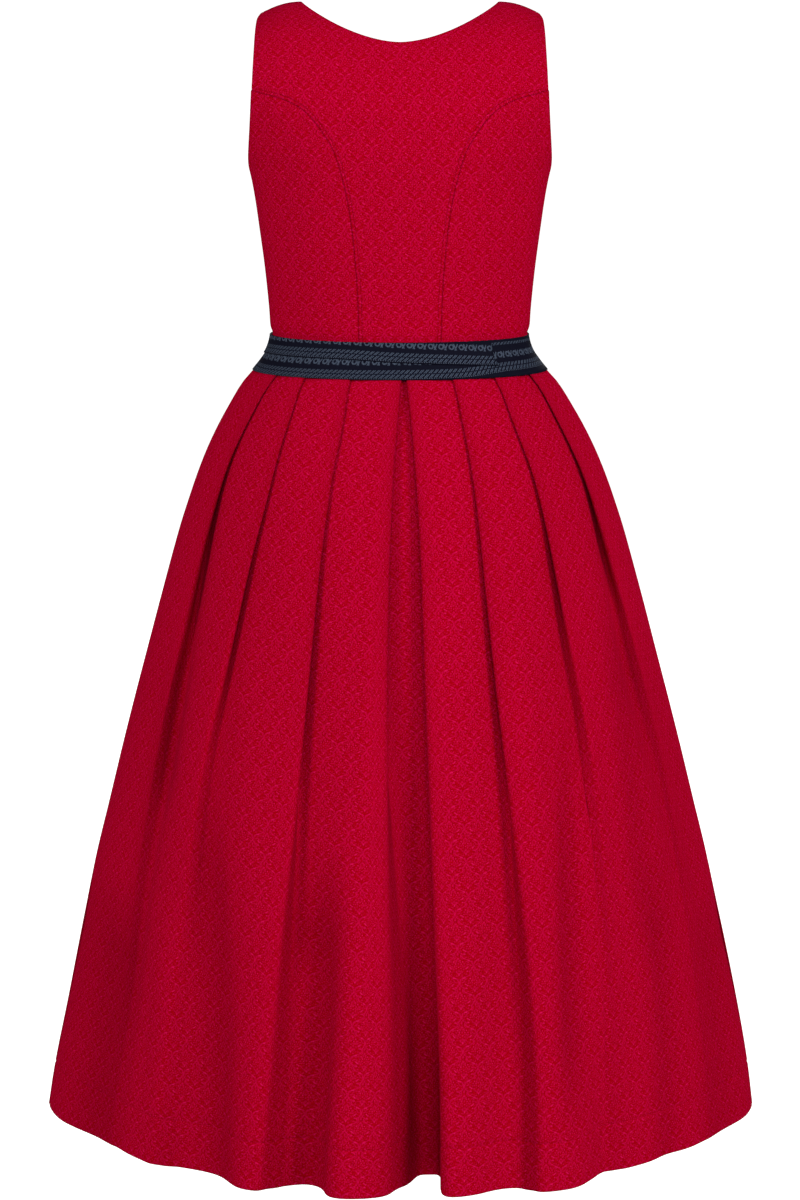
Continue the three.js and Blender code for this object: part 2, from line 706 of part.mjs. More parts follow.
for (const panel of panelSides) {
  const halfGap = SEAM_GAP * SLANT_SHARE;
  const armhole = armholeLine(panel.armhole, RIDGE_START, panel.junction, 24);
  const inside = seamLine(panel.seam, -halfGap);
  const outside = seamLine(panel.seam, halfGap);
  inside[0] = armhole[armhole.length - 1];
  outside[0] = [smooth(panel.armhole, panel.junction + JUNCTION_GAP, 1), panel.junction + JUNCTION_GAP];
  inside[inside.length - 1][1] = WAIST_SEAM;
  outside[outside.length - 1][1] = WAIST_SEAM;
  const neckLength = line(panel.neck).total;
  const armLength = line(armhole).total;
  const end = {
    inner: line([...panel.neck, [0, WAIST_SEAM]]).total,
    outer: line([...armhole, ...inside.slice(1)]).total,
  };
  const stations = panel.stations(neckLength, armLength, end);
  const middle = middlePanel(panel.side, panel.neck, armhole, inside, stations, panel.columns);
  bodice.add(wall(`${panel.name}_centre`, middle, 0, BODICE_CLOTH, redCloth));
  for (const sign of [-1, 1]) {
    const start = panel.junction + JUNCTION_GAP;
    const sheet = sidePanel(panel.side, sign, outside, panel.armhole, start, 6, middle.shares);
    const hand = sign < 0 ? 'left' : 'right';
    bodice.add(wall(`${panel.name}_side_${hand}`, sheet, 0, BODICE_CLOTH, redCloth));
  }
}

const skirt = new THREE.Group();
skirt.name = 'skirt';
dress.add(skirt);
const halfCloth = SKIRT_CLOTH / 2;
skirt.add(wall('skirt_back', skirtPanel(1, 1), halfCloth, halfCloth, redCloth));
skirt.add(wall('skirt_front', skirtPanel(2, -1), halfCloth, halfCloth, redCloth));

const belt = new THREE.Group();
belt.name = 'belt';
dress.add(belt);
const halfRibbon = RIBBON_CLOTH / 2;
belt.add(wall('ribbon_belt', ribbonStrip(4), halfRibbon, halfRibbon, ribbonCloth));

export default dress;
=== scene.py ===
import math

import bpy
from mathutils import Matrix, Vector


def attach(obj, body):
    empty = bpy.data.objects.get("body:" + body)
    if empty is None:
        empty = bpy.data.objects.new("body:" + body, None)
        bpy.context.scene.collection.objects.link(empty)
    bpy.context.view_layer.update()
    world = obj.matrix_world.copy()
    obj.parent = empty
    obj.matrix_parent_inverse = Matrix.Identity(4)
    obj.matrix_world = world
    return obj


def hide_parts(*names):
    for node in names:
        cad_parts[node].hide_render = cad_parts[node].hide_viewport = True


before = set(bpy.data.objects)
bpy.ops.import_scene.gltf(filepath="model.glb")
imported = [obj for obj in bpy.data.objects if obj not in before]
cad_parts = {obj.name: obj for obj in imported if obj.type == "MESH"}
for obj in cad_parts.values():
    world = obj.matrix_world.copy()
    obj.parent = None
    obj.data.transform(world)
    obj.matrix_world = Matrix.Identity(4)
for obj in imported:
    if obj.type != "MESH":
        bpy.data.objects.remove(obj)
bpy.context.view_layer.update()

# The camera looks at the back of the dress from a little above the shoulders.
# It stands four and a half metres away, so that the hem and the neck keep their true shares.
CAMERA_PLACE = (0.0, -4.5, 0.15)
CAMERA_TILT = math.radians(80.58)
CAMERA_LENS = 135.66

bpy.ops.object.select_all(action="DESELECT")
bpy.ops.object.camera_add(location=CAMERA_PLACE, rotation=(CAMERA_TILT, 0, 0))
camera = bpy.context.object
camera.name = "camera"
camera.data.lens = CAMERA_LENS
camera.data.sensor_width = 36
bpy.context.scene.camera = camera

# The studio is a pale floor that curves up behind the dress, lit by soft panels.
# The dress hangs clear of the floor, held at the shoulders.
FLOOR_LEVEL = -1.42
FLOOR_SIZE = 21.0
FLOOR_BACK = 12.0
WALL_HEIGHT = 8.0
# The bend between floor and wall: its size and its steps.
WALL_BEND = (2.5, 12)
TOUCH = 0.01
FLOOR_COLOUR = (0.55, 0.548, 0.545, 1)
FLOOR_ROUGHNESS = 0.9
# The floor's own glow and the white of the room are only seen by the camera and light nothing.
FLOOR_GLOW = 1.0
ROOM_LIGHT = 0.17
ROOM_WHITE = 1.0
# Name, place, what it is aimed at, size and power.
SOFT_PANELS = [
    ("key_right", (3.3, -2.5, 1.2), (0, 0, -0.4), 1.4, 96),
    ("key_left", (-3.3, -2.5, 1.2), (0, 0, -0.4), 1.4, 75),
    ("near_panel", (0.3, -4.6, 1.8), (0, 0, -0.5), 2.2, 76),
    ("far_panel", (0.7, 4.6, 1.6), (0, 0, -0.5), 2.2, 84),
]

bpy.ops.object.select_all(action="DESELECT")
bpy.ops.mesh.primitive_plane_add(size=FLOOR_SIZE, location=(0, FLOOR_BACK - FLOOR_SIZE / 2, FLOOR_LEVEL))
floor = bpy.context.object
floor.name = "studio_floor"
bpy.ops.object.transform_apply(location=True)
for vertex in floor.data.vertices:
    vertex.select = vertex.co.y > FLOOR_BACK - TOUCH
for edge in floor.data.edges:
    edge.select = all(floor.data.vertices[i].select for i in edge.vertices)
for polygon in floor.data.polygons:
    polygon.select = False
bpy.ops.object.mode_set(mode="EDIT")
bpy.ops.mesh.select_mode(type="EDGE")
bpy.ops.mesh.extrude_edges_move(TRANSFORM_OT_translate={"value": (0, 0, WALL_HEIGHT)})
bpy.ops.object.mode_set(mode="OBJECT")
bend = floor.modifiers.new("bend", "BEVEL")
bend.width, bend.segments = WALL_BEND
bpy.ops.object.modifier_apply(modifier="bend")
bpy.ops.object.shade_smooth()
floor_paint = bpy.data.materials.new("floor_paint")
floor_paint.use_nodes = True
floor_tree = floor_paint.node_tree
floor_shader = floor_tree.nodes["Principled BSDF"]
floor_shader.inputs["Base Color"].default_value = FLOOR_COLOUR
floor_shader.inputs["Roughness"].default_value = FLOOR_ROUGHNESS
floor_shader.inputs["Emission Color"].default_value = (1, 1, 1, 1)
floor_seen = floor_tree.nodes.new("ShaderNodeMath")
floor_seen.operation = "MULTIPLY"
floor_seen.inputs[1].default_value = FLOOR_GLOW
floor_ray = floor_tree.nodes.new("ShaderNodeLightPath")
floor_tree.links.new(floor_ray.outputs["Is Camera Ray"], floor_seen.inputs[0])
floor_tree.links.new(floor_seen.outputs[0], floor_shader.inputs["Emission Strength"])
floor.data.materials.append(floor_paint)

for name, place, target, size, power in SOFT_PANELS:
    bpy.ops.object.light_add(type="AREA", location=place)
    panel = bpy.context.object
    panel.name = name
    panel.data.size = size
    panel.data.energy = power
    aim = Vector(target) - Vector(place)
    panel.rotation_euler = aim.to_track_quat("-Z", "Y").to_euler()

world = bpy.data.worlds.new("studio")
world.use_nodes = True
room = world.node_tree
room_light = room.nodes["Background"]
room_light.inputs["Color"].default_value = (1, 1, 1, 1)
room_light.inputs["Strength"].default_value = ROOM_LIGHT
room_seen = room.nodes.new("ShaderNodeBackground")
room_seen.inputs["Color"].default_value = (1, 1, 1, 1)
room_seen.inputs["Strength"].default_value = ROOM_WHITE
by_ray = room.nodes.new("ShaderNodeMixShader")
room.links.new(room.nodes.new("ShaderNodeLightPath").outputs["Is Camera Ray"], by_ray.inputs[0])
room.links.new(room_light.outputs[0], by_ray.inputs[1])
room.links.new(room_seen.outputs[0], by_ray.inputs[2])
room.links.new(by_ray.outputs[0], room.nodes["World Output"].inputs["Surface"])
bpy.context.scene.world = world
bpy.context.scene.view_settings.view_transform = "Standard"

# Back of the bodice, middle panel: red jacquard cut with a round neckline and straps.
# Its edges are turned in, and it is sewn to the side panels by shaping seams.
# Sizes here are in millimetres from the shoulder line down, like a tailor's measures.
MM = 0.001
RIDGE_START = 0.02
UNDERARM = 160
WAIST_SEAM = 331.2
NECK_HALF = 98
NECK_BACK_DEPTH = 36
NECK_BACK_POWER = 1.75
SHOULDER_RISE = 1.2
SHOULDER_DROP = 0.0076
SHOULDER_FADE = 120
MIDDLE_FORWARD = 8
MIDDLE_FADE = 100
BODICE_SHELL = 1.1
SEAM_GAP = 0.3
# Side move of a seam line, as a share of the gap, and how far below the middle panel a side panel starts.
SLANT_SHARE = 0.7
JUNCTION_GAP = 0.6
# Steps along the curves that the panels are cut by.
SEAM_STEPS = 96
CURVE_STEPS = 48
DEPTH_STEP = 2
ACROSS_STEPS = 12
# Steps in swing and in depth that the way out from the form is taken over.
NORMAL_STEPS = (0.01, 0.5)
TINY = 1e-6
# Points closer than this, in millimetres, are merged at the middle line.
MERGE_NEAR = 0.01
# Points are told apart by their places in steps of five thousandths of a millimetre.
PLACE_KEY = 2e5

# Body form. Columns: depth, half width, back depth, front depth.
FORM = [
    (0, 188, 0, 0), (3, 188, 24, 20), (10, 188, 43, 36), (25, 188, 66, 54), (50, 186, 86, 72),
    (80, 179, 99, 88), (110, 168, 104, 101), (140, 157, 104, 112), (160, 149.2, 102.5, 118),
    (184, 144, 99.5, 121), (223, 138.3, 94.5, 118), (263, 133.1, 89.5, 108), (303, 129.2, 85.5, 97),
    (318, 128.2, 84.3, 93.6), (326, 125.9, 82.9, 91.6), (332, 126.8, 83.3, 91.8),
]
# Roundness of the plan section. Columns: depth, exponent.
ROUNDNESS = [(0, 2.25), (240, 2.25), (320, 2), (400, 2)]
# Fullness of the front over each cup: how far out, where and how wide.
CUP = {"out": 14, "x": 75, "depth": 205, "wide": 42, "tall": 48, "fade": 60}
# Armhole of the back. Columns: depth, distance from the middle.
ARMHOLE_BACK = [
    (0, 138.6), (3, 140.6), (10, 141.4), (40, 142.6), (79.5, 144.4),
    (110, 146), (135, 147.8), (150, 148.9), (160, 149.2),
]
# Shaping seam of the back. Columns: distance from the middle, depth.
SEAM_BACK = [
    (144.4, 79.5), (134.5, 83.4), (116, 88.6), (97, 97.4), (84, 109), (75, 121),
    (63.5, 141), (57, 162), (50, 193), (44.5, 237), (41.2, 284.5), (40, WAIST_SEAM),
]


def bracket(table, at):
    """Row of the table before a value, and how far the value is on the way to the next row."""
    sign = 1 if table[-1][0] > table[0][0] else -1
    i = 0
    while i < len(table) - 2 and sign * at > sign * table[i + 1][0]:
        i += 1
    span = table[i + 1][0] - table[i][0]
    return i, span, min(1, max(0, (at - table[i][0]) / span))


def straight(table, at, column):
    """Straight interpolation in a table by its first column."""
    i, span, t = bracket(table, at)
    return table[i][column] + (table[i + 1][column] - table[i][column]) * t


def smooth(table, at, column):
    """Smooth interpolation in a table, without overshoot between its rows."""
    i, span, t = bracket(table, at)

    def slope(k):
        return (table[k + 1][column] - table[k][column]) / (table[k + 1][0] - table[k][0])

    def tangent(k):
        if k == 0 or k == len(table) - 1:
            return slope(min(k, len(table) - 2))
        before, after = slope(k - 1), slope(k)
        return 0 if before * after <= 0 else 2 * before * after / (before + after)

    t2, t3 = t * t, t * t * t
    return (
        (2 * t3 - 3 * t2 + 1) * table[i][column]
        + (t3 - 2 * t2 + t) * span * tangent(i)
        + (3 * t2 - 2 * t3) * table[i + 1][column]
        + (t3 - t2) * span * tangent(i + 1)
    )


def form_point(side, swing, depth):
    """Point of the body form. side is -1 at the back; swing is 0 at the side, a right angle in the middle."""
    h = max(RIDGE_START, depth)
    power = 2 / straight(ROUNDNESS, h, 1)
    x = smooth(FORM, h, 1) * max(0, math.cos(swing)) ** power
    y = smooth(FORM, h, 2 if side < 0 else 3) * max(0, math.sin(swing)) ** power
    if side > 0:
        across = (x - CUP["x"]) / CUP["wide"]
        down = (h - CUP["depth"]) / CUP["tall"]
        y += CUP["out"] * math.exp(-across * across - down * down) * min(1, y / CUP["fade"])
    middle = MIDDLE_FORWARD * (1 - h / MIDDLE_FADE) ** 2 if h < MIDDLE_FADE else 0
    fade = (1 - h / SHOULDER_FADE) ** 2 if h < SHOULDER_FADE else 0
    drop = (SHOULDER_DROP * max(0, x - NECK_HALF) ** 2 - SHOULDER_RISE) * fade
    return Vector((x, middle + side * y, -h - drop))


def swing_at(x, depth):
    """The swing at which the form has this distance from the middle."""
    half = smooth(FORM, max(RIDGE_START, depth), 1)
    return math.acos(min(1, max(0, x / half)) ** (straight(ROUNDNESS, depth, 1) / 2))


def down_the_form(side):
    """Table of depth and length of cloth from the shoulder, down the middle of the form."""
    lengths = [(0, 0)]
    last = form_point(side, math.pi / 2, 0)
    for depth in range(DEPTH_STEP, 338, DEPTH_STEP):
        point = form_point(side, math.pi / 2, depth)
        lengths.append((depth, lengths[-1][1] + (point - last).length / straight(CLOTH_PULL, depth, 2)))
        last = point
    return lengths


# Pull of the bodice cloth. Columns: depth, share of its width, share of its length, skew.
CLOTH_PULL = [(0, 0.875, 1.03, 0.048), (90, 0.89, 1.03, 0.045), (220, 0.93, 1.01, 0.028), (300, 1.0, 0.95, 0)]


def across_the_form(side, swing, depth):
    """Length of cloth from the middle to a point, level with it."""
    total = 0
    last = form_point(side, math.pi / 2, depth)
    for i in range(1, ACROSS_STEPS + 1):
        point = form_point(side, math.pi / 2 + (swing - math.pi / 2) * i / ACROSS_STEPS, depth)
        total += (point - last).length
        last = point
    return total


class CutLine:
    """A line of (x, depth) points that can be asked for the point at a length along it."""

    def __init__(self, points):
        self.rows = [(0, points[0][0], points[0][1])]
        for x, depth in points[1:]:
            length, before_x, before_depth = self.rows[-1]
            step = math.hypot(x - before_x, depth - before_depth)
            if step > TINY * 0.001:
                self.rows.append((length + step, x, depth))
        self.total = self.rows[-1][0]

    def at(self, length):
        """The x and the depth at a length along the line."""
        return straight(self.rows, length, 1), straight(self.rows, length, 2)


def seam_points(table, move):
    """A shaping seam as a smooth line, moved sideways by half the seam gap."""
    by_share = [(i / (len(table) - 1), x, depth) for i, (x, depth) in enumerate(table)]
    ways = [i / SEAM_STEPS for i in range(SEAM_STEPS + 1)]
    fine = [(smooth(by_share, way, 1), smooth(by_share, way, 2)) for way in ways]
    moved = []
    for i, (x, depth) in enumerate(fine):
        before, after = fine[max(0, i - 1)], fine[min(SEAM_STEPS, i + 1)]
        reach = math.hypot(after[0] - before[0], after[1] - before[1])
        over = (after[1] - before[1]) / reach * move
        under = (after[0] - before[0]) / reach * move
        ends = i in (0, SEAM_STEPS)
        moved.append((x + over, depth if ends else depth - under))
    return moved


def armhole_points(table, start, end):
    """Points of an armhole between two depths."""
    depths = [start + (end - start) * i / CURVE_STEPS for i in range(CURVE_STEPS + 1)]
    return [(smooth(table, depth, 1), depth) for depth in depths]


def back_neck_points():
    """Points of the back neckline, from the shoulder to the middle."""
    points = []
    for i in range(CURVE_STEPS + 1):
        x = NECK_HALF * (1 - i / CURVE_STEPS)
        points.append((x, RIDGE_START + NECK_BACK_DEPTH * (1 - (x / NECK_HALF) ** NECK_BACK_POWER)))
    return points


# How far each open edge is turned in, in two steps.
EDGE_ROLL = (0.35, 0.9)
# The cloth beside a seam, pressed over its allowance, with a faint second line where that ends.
# Both lines are small grooves, darkened further with painted shade.
# Columns: distance from the seam, rise off the form, painted shade.
SEAM_PRESS = [
    (6.4, 0, 0), (4, 0.25, 0), (3.2, 0, 0.6), (2.4, 0.25, 0), (1.2, 0.2, 0), (0.5, 0, 0.45), (0, -0.5, 1),
]
# The same for the side panels' seams: a groove with painted shade, without the second line.
EDGE_PRESS = [(4, 0, 0), (1.1, 0.2, 0), (0.5, 0, 0.45), (0, -0.5, 1)]
# Where a row meets its seam at a slant, the pressed strip keeps at least this share of its width.
LEAST_SLANT = 0.22


def form_normal(side, swing, depth):
    """The way out from the body form at a point."""
    turn, fall = NORMAL_STEPS
    across = form_point(side, swing - turn, depth) - form_point(side, swing + turn, depth)
    down = form_point(side, swing, depth + fall) - form_point(side, swing, depth - fall)
    return across.cross(down).normalized() * side


def lay_grid(name, places, cloth, shades):
    """A grid of cloth: its points row by row from the bottom, its cloth map in metres, and its shade."""
    rows, columns = len(places) - 1, len(places[0]) - 1
    bpy.ops.object.select_all(action="DESELECT")
    bpy.ops.mesh.primitive_grid_add(x_subdivisions=columns, y_subdivisions=rows, size=1, calc_uvs=True)
    piece = bpy.context.object
    piece.name = name
    piece.data.name = name
    for row in range(rows + 1):
        for column in range(columns + 1):
            piece.data.vertices[row * (columns + 1) + column].co = Vector(places[row][column]) * MM
    layer = piece.data.uv_layers[0]
    layer.name = "cloth"
    for loop in piece.data.loops:
        row, column = divmod(loop.vertex_index, columns + 1)
        layer.data[loop.index].uv = (cloth[row][column][0] * MM, cloth[row][column][1] * MM)
    # The shades are painted shade, kept in a point attribute named fold.
    if shades:
        fold = piece.data.attributes.new("fold", "FLOAT", "POINT")
        fold.data.foreach_set("value", shades)
    piece.data.update()
    return piece


def roll_edges(piece):
    """Turns the open edges in, step by step."""
    for step_in in EDGE_ROLL:
        mesh = piece.data
        before = {}
        for vertex in mesh.vertices:
            key = tuple(round(c * PLACE_KEY) for c in vertex.co)
            before[key] = vertex.normal.copy()
        bpy.ops.object.mode_set(mode="EDIT")
        bpy.ops.mesh.select_mode(type="EDGE")
        bpy.ops.mesh.select_all(action="DESELECT")
        bpy.ops.mesh.select_non_manifold(
            extend=False, use_wire=False, use_boundary=True,
            use_multi_face=False, use_non_contiguous=False, use_verts=False,
        )
        bpy.ops.object.mode_set(mode="OBJECT")
        for polygon in mesh.polygons:
            polygon.select = False
        keep = {i for edge in mesh.edges if edge.select for i in edge.vertices}
        for vertex in mesh.vertices:
            vertex.select = vertex.index in keep
        bpy.ops.object.mode_set(mode="EDIT")
        bpy.ops.mesh.extrude_edges_move(TRANSFORM_OT_translate={"value": (0, 0, 0)})
        bpy.ops.object.mode_set(mode="OBJECT")
        for vertex in mesh.vertices:
            if vertex.select:
                key = tuple(round(c * PLACE_KEY) for c in vertex.co)
                normal = before.get(key, vertex.normal)
                vertex.co -= normal * step_in * MM
        mesh.update()


def thicken(piece, thickness, offset):
    """Gives a laid sheet its thickness."""
    bpy.ops.object.select_all(action="DESELECT")
    piece.select_set(True)
    bpy.context.view_layer.objects.active = piece
    shell = piece.modifiers.new("shell", "SOLIDIFY")
    shell.thickness = thickness * MM
    shell.offset = offset
    bpy.ops.object.modifier_apply(modifier="shell")
    bpy.ops.object.shade_smooth()


def middle_panel(name, side, neck, armhole, seam, stations, columns, grain):
    """Half of a middle panel from its middle line out, mirrored to the other half."""
    inner = CutLine(neck + [(0, WAIST_SEAM)])
    outer = CutLine(armhole + seam[1:])
    rows = [(0, 0)]
    bands = stations(CutLine(neck).total, CutLine(armhole).total, inner.total, outer.total)
    for inner_end, outer_end, count in bands:
        inner_start, outer_start = rows[-1]
        for k in range(1, count + 1):
            t = k / count
            rows.append((
                inner_start + (inner_end - inner_start) * t,
                outer_start + (outer_end - outer_start) * t,
            ))
    lengths = down_the_form(side)
    arm_length = CutLine(armhole).total - TINY
    places, cloth, shades = [], [], []
    for inner_at, outer_at in reversed(rows):
        start, end = inner.at(inner_at), outer.at(outer_at)
        wide = math.hypot(end[0] - start[0], end[1] - start[1])
        above, below = outer.at(outer_at - 1), outer.at(outer_at + 1)
        slant = (end[0] - start[0]) * (below[1] - above[1]) - (end[1] - start[1]) * (below[0] - above[0])
        slant = abs(slant) / wide / math.hypot(below[0] - above[0], below[1] - above[1])
        wide *= max(LEAST_SLANT, slant)
        ways = [(c / columns * (1 - SEAM_PRESS[0][0] / wide), 0, 0) for c in range(columns)]
        ways += [(1 - away / wide, rise, shade) for away, rise, shade in SEAM_PRESS]
        place_row, cloth_row = [], []
        for t, rise, shade in ways:
            shades.append(shade if outer_at > arm_length else 0)
            x = start[0] + (end[0] - start[0]) * t
            depth = start[1] + (end[1] - start[1]) * t
            swing = swing_at(x, depth)
            point = form_point(side, swing, depth) + form_normal(side, swing, depth) * rise
            if x < TINY:
                point.x = 0
            point.x *= -side
            place_row.append(point)
            wide = across_the_form(side, swing, depth) / straight(CLOTH_PULL, depth, 1)
            cloth_row.append((wide, grain - straight(lengths, depth, 1)))
        places.append(place_row)
        cloth.append(cloth_row)
    piece = lay_grid(name, places, cloth, shades)
    other_half = piece.modifiers.new("other_half", "MIRROR")
    other_half.use_mirror_merge = True
    other_half.merge_threshold = MERGE_NEAR * MM
    other_half.use_mirror_u = True
    other_half.mirror_offset_u = -1
    bpy.ops.object.modifier_apply(modifier="other_half")
    for loop in piece.data.loops:
        depth = -piece.data.vertices[loop.vertex_index].co.z / MM
        place = piece.data.uv_layers["cloth"].data[loop.index].uv
        place.y += straight(CLOTH_PULL, depth, 3) * place.x
    shares = [
        (outer_at - arm_length) / (outer.total - arm_length)
        for inner_at, outer_at in rows
        if outer_at > arm_length
    ]
    return piece, shares


def back_stations(neck, arm, inner_end, outer_end):
    """Bands of rows. Columns: end on the inner line, end on the outer line, rows."""
    return [
        (neck, arm * 0.62, 30),
        (neck + 28, arm, 10),
        (neck + 62, arm + 52, 16),
        (inner_end - 15, outer_end - 15, 44),
        (inner_end, outer_end, 8),
    ]


back_armhole = armhole_points(ARMHOLE_BACK, RIDGE_START, SEAM_BACK[0][1])
back_inside = seam_points(SEAM_BACK, -SEAM_GAP * SLANT_SHARE)
back_inside[0] = back_armhole[-1]
back_outside = seam_points(SEAM_BACK, SEAM_GAP * SLANT_SHARE)
back_junction = SEAM_BACK[0][1] + JUNCTION_GAP
back_outside[0] = (smooth(ARMHOLE_BACK, back_junction, 1), back_junction)
back_centre, back_shares = middle_panel(
    "back_centre_cloth", -1, back_neck_points(), back_armhole, back_inside, back_stations, 36, 0
)


# The jacquard: a red satin ground with a small figure woven in pinker, brighter thread.
# The figure repeats on a centred lattice of leaves, hooks and small rosettes.
REPEAT_WIDE = 30.3
REPEAT_TALL = 32.8
# How far the middle of a figure lies above its crossing point.
FIGURE_MIDDLE = -10.3
# A thread's width, the slant of the twill, and how high weft, twill and figure stand in the relief.
THREAD = 0.36
TWILL_SLANT = 0.5
WEFT_HEIGHT, TWILL_HEIGHT, FIGURE_HEIGHT = 0.3, 0.2, 0.6
GROUND_ROUGHNESS, FIGURE_GLOSS = 0.74, 0.16
GROUND_RED = (0.41, 0.0004, 0.0065, 1)
FIGURE_RED = (0.55, 0.0016, 0.046, 1)
BRIGHT_RED = (0.67, 0.006, 0.09, 1)
# Dark specks at random: painted shade in the small pits of the weave.
PIT_SHADE_RED = (0.27, 0.0002, 0.004, 1)
# What multiplies the colour where the yarn is thicker, and the painted shade that darkens the cloth in a
# fold, in a crease's trough and beside a seam.
SLUB_RED = (0.78, 0.7, 0.74, 1)
SHADE_RED = (0.34, 0.18, 0.25, 1)
# Size of the flecks and of the dark specks of painted pit shade, and where each starts and how fast it grows
# in the random value of a fleck.
BEAD = 0.8
PIT_SHADE = (0.31, 2.0)
FLECKS = (0.73, 1.4)
# The same for the thicker yarn, which runs along the warp.
SLUBS = (0.35, 0.9)
SLUB_STRETCH = (0.9, 0.12, 1)

# The figure is charted from its crossing point and mirrored left and right, in millimetres.
# Its edge: where its cover starts to fade, and how fast.
FIGURE_EDGE = (2.4, 1.8)
# Arcs. Columns: middle x, middle y, radius, half width, how far out it reaches.
FIGURE_ARCS = [(5.3, -0.1, 4.8, 0.55, 4.4), (6.1, -7.3, 2.1, 0.55, 6.9), (6.3, -7.4, 3.7, 0.3, 4.4)]
# Strokes. Columns: from x, from y, to x, to y, half width.
FIGURE_STROKES = [
    (5.0, -9.1, 7.4, -10.2, 0.45), (7.4, -10.2, 10.8, -11.2, 0.45), (10.8, -11.2, 14.4, -13.2, 0.4),
    (2.2, -22.2, 0.5, -24.0, 0.7), (7.6, -12.2, 10.2, -13.6, 0.35), (10.0, -15.2, 12.6, -16.2, 0.4),
]
# Dots. Columns: x, y, half width, half height.
FIGURE_DOTS = [
    (0, -5.0, 0.75, 1.4), (0, -9.6, 1.1, 0.9), (1.6, -11.2, 0.95, 0.85), (5.7, -14.6, 0.95, 0.75),
    (4.0, -16.6, 0.7, 0.7), (6.2, -16.8, 0.85, 0.7), (2.3, -18.9, 0.75, 0.7), (4.7, -19.8, 0.85, 0.7),
    (0, -20.9, 1.2, 1.0), (7.9, -8.2, 0.7, 0.6), (1.9, -13.0, 0.65, 0.6), (2.1, -16.6, 0.55, 0.6),
    (0, -14.2, 0.6, 0.7), (6.6, -19.0, 0.6, 0.6), (3.6, -22.0, 0.7, 0.6), (2.6, -7.4, 0.6, 0.7),
    (8.6, -15.6, 0.6, 0.5), (12.6, -9.6, 0.7, 0.6), (14.6, -15.6, 0.5, 0.8), (2.4, -2.2, 0.5, 0.6),
]
BRIGHT_STROKES = [(3.6, 4.3, 4.6, 4.8, 0.42), (4.6, 4.8, 5.6, 4.5, 0.42), (7.5, -19.0, 9.4, -17.6, 0.5)]
BRIGHT_DOTS = [
    (6.7, -5.3, 0.8, 0.55), (4.3, -12.5, 0.65, 0.55), (2.7, -14.7, 0.6, 0.5), (0, -24.8, 0.6, 0.9),
    (0, -17.6, 0.5, 0.5), (9.4, -11.4, 0.5, 0.4),
]


class Reading:
    """A value worked out by nodes. Plain arithmetic on it adds the next Math node.

    Each node is made after the ones it reads, because a large material only renders in that order.
    """

    def __init__(self, tree, socket):
        self.tree = tree
        self.socket = socket

    def to(self, socket):
        self.tree.links.new(self.socket, socket)

    def step(self, operation, *values):
        made = self.tree.nodes.new("ShaderNodeMath")
        made.operation = operation
        for socket, value in zip(made.inputs, values):
            if isinstance(value, Reading):
                value.to(socket)
            else:
                socket.default_value = value
        return Reading(self.tree, made.outputs[0])

    def vector(self, operation, second=None):
        """A Vector Math node. Its second input is a reading or a plain triple."""
        made = self.tree.nodes.new("ShaderNodeVectorMath")
        made.operation = operation
        self.to(made.inputs[0])
        if isinstance(second, Reading):
            second.to(made.inputs[1])
        elif second:
            made.inputs[1].default_value = second
        result = "Value" if operation in ("LENGTH", "DOT_PRODUCT") else "Vector"
        return Reading(self.tree, made.outputs[result])

    def __add__(self, other):
        return self.step("ADD", self, other)

    def __sub__(self, other):
        return self.step("SUBTRACT", self, other)

    def __rsub__(self, other):
        return self.step("SUBTRACT", other, self)

    def __mul__(self, other):
        return self.step("MULTIPLY", self, other)

    def __truediv__(self, other):
        return self.step("DIVIDE", self, other)

    def __abs__(self):
        return self.step("ABSOLUTE", self)

    def by(self, operation, *others):
        """The next Math node, which this value enters first."""
        return self.step(operation, self, *others)

    def clamped(self):
        """Keeps the last step between 0 and 1."""
        self.socket.node.use_clamp = True
        return self

    def along(self, triple):
        """A plain triple made this many times as long."""
        made = self.tree.nodes.new("ShaderNodeVectorMath")
        made.operation = "SCALE"
        made.inputs[0].default_value = triple
        self.to(made.inputs["Scale"])
        return Reading(self.tree, made.outputs["Vector"])

    def parts(self):
        """The x and y of a place."""
        made = self.tree.nodes.new("ShaderNodeSeparateXYZ")
        self.to(made.inputs[0])
        return Reading(self.tree, made.outputs["X"]), Reading(self.tree, made.outputs["Y"])


def new_group(name, given, results):
    """A node group that takes one vector and puts out values. Returns the vector and the output node."""
    tree = bpy.data.node_groups.new(name, "ShaderNodeTree")
    tree.interface.new_socket(given, in_out="INPUT", socket_type="NodeSocketVector")
    for label in results:
        tree.interface.new_socket(label, in_out="OUTPUT", socket_type="NodeSocketFloat")
    return Reading(tree, tree.nodes.new("NodeGroupInput").outputs[0]), tree.nodes.new("NodeGroupOutput")


def stroke_field(place, stroke):
    """How far a place is from a stroke, as share of the stroke's half width."""
    x0, y0, x1, y1, half = stroke
    square = (x1 - x0) ** 2 + (y1 - y0) ** 2
    near = place.vector("SUBTRACT", (x0, y0, 0))
    share = near.vector("DOT_PRODUCT", ((x1 - x0) / square, (y1 - y0) / square, 0)).by("MAXIMUM", 0).clamped()
    return near.vector("SUBTRACT", share.along((x1 - x0, y1 - y0, 0))).vector("LENGTH") / half


def dot_field(place, dot):
    x, y, wide, tall = dot
    return place.vector("SUBTRACT", (x, y, 0)).vector("MULTIPLY", (1 / wide, 1 / tall, 0)).vector("LENGTH")


def arc_field(place, outward, arc):
    x, y, radius, half, reach = arc
    off = abs(place.vector("SUBTRACT", (x, y, 0)).vector("LENGTH") - radius) / half
    return off.by("MAXIMUM", (outward - (reach - half)) / half)


def covered(fields):
    """1 inside the strokes and dots and 0 outside, with a soft edge."""
    field = fields[0]
    for other in fields[1:]:
        field = field.by("MINIMUM", other)
    return (FIGURE_EDGE[0] - field * FIGURE_EDGE[1]).clamped()


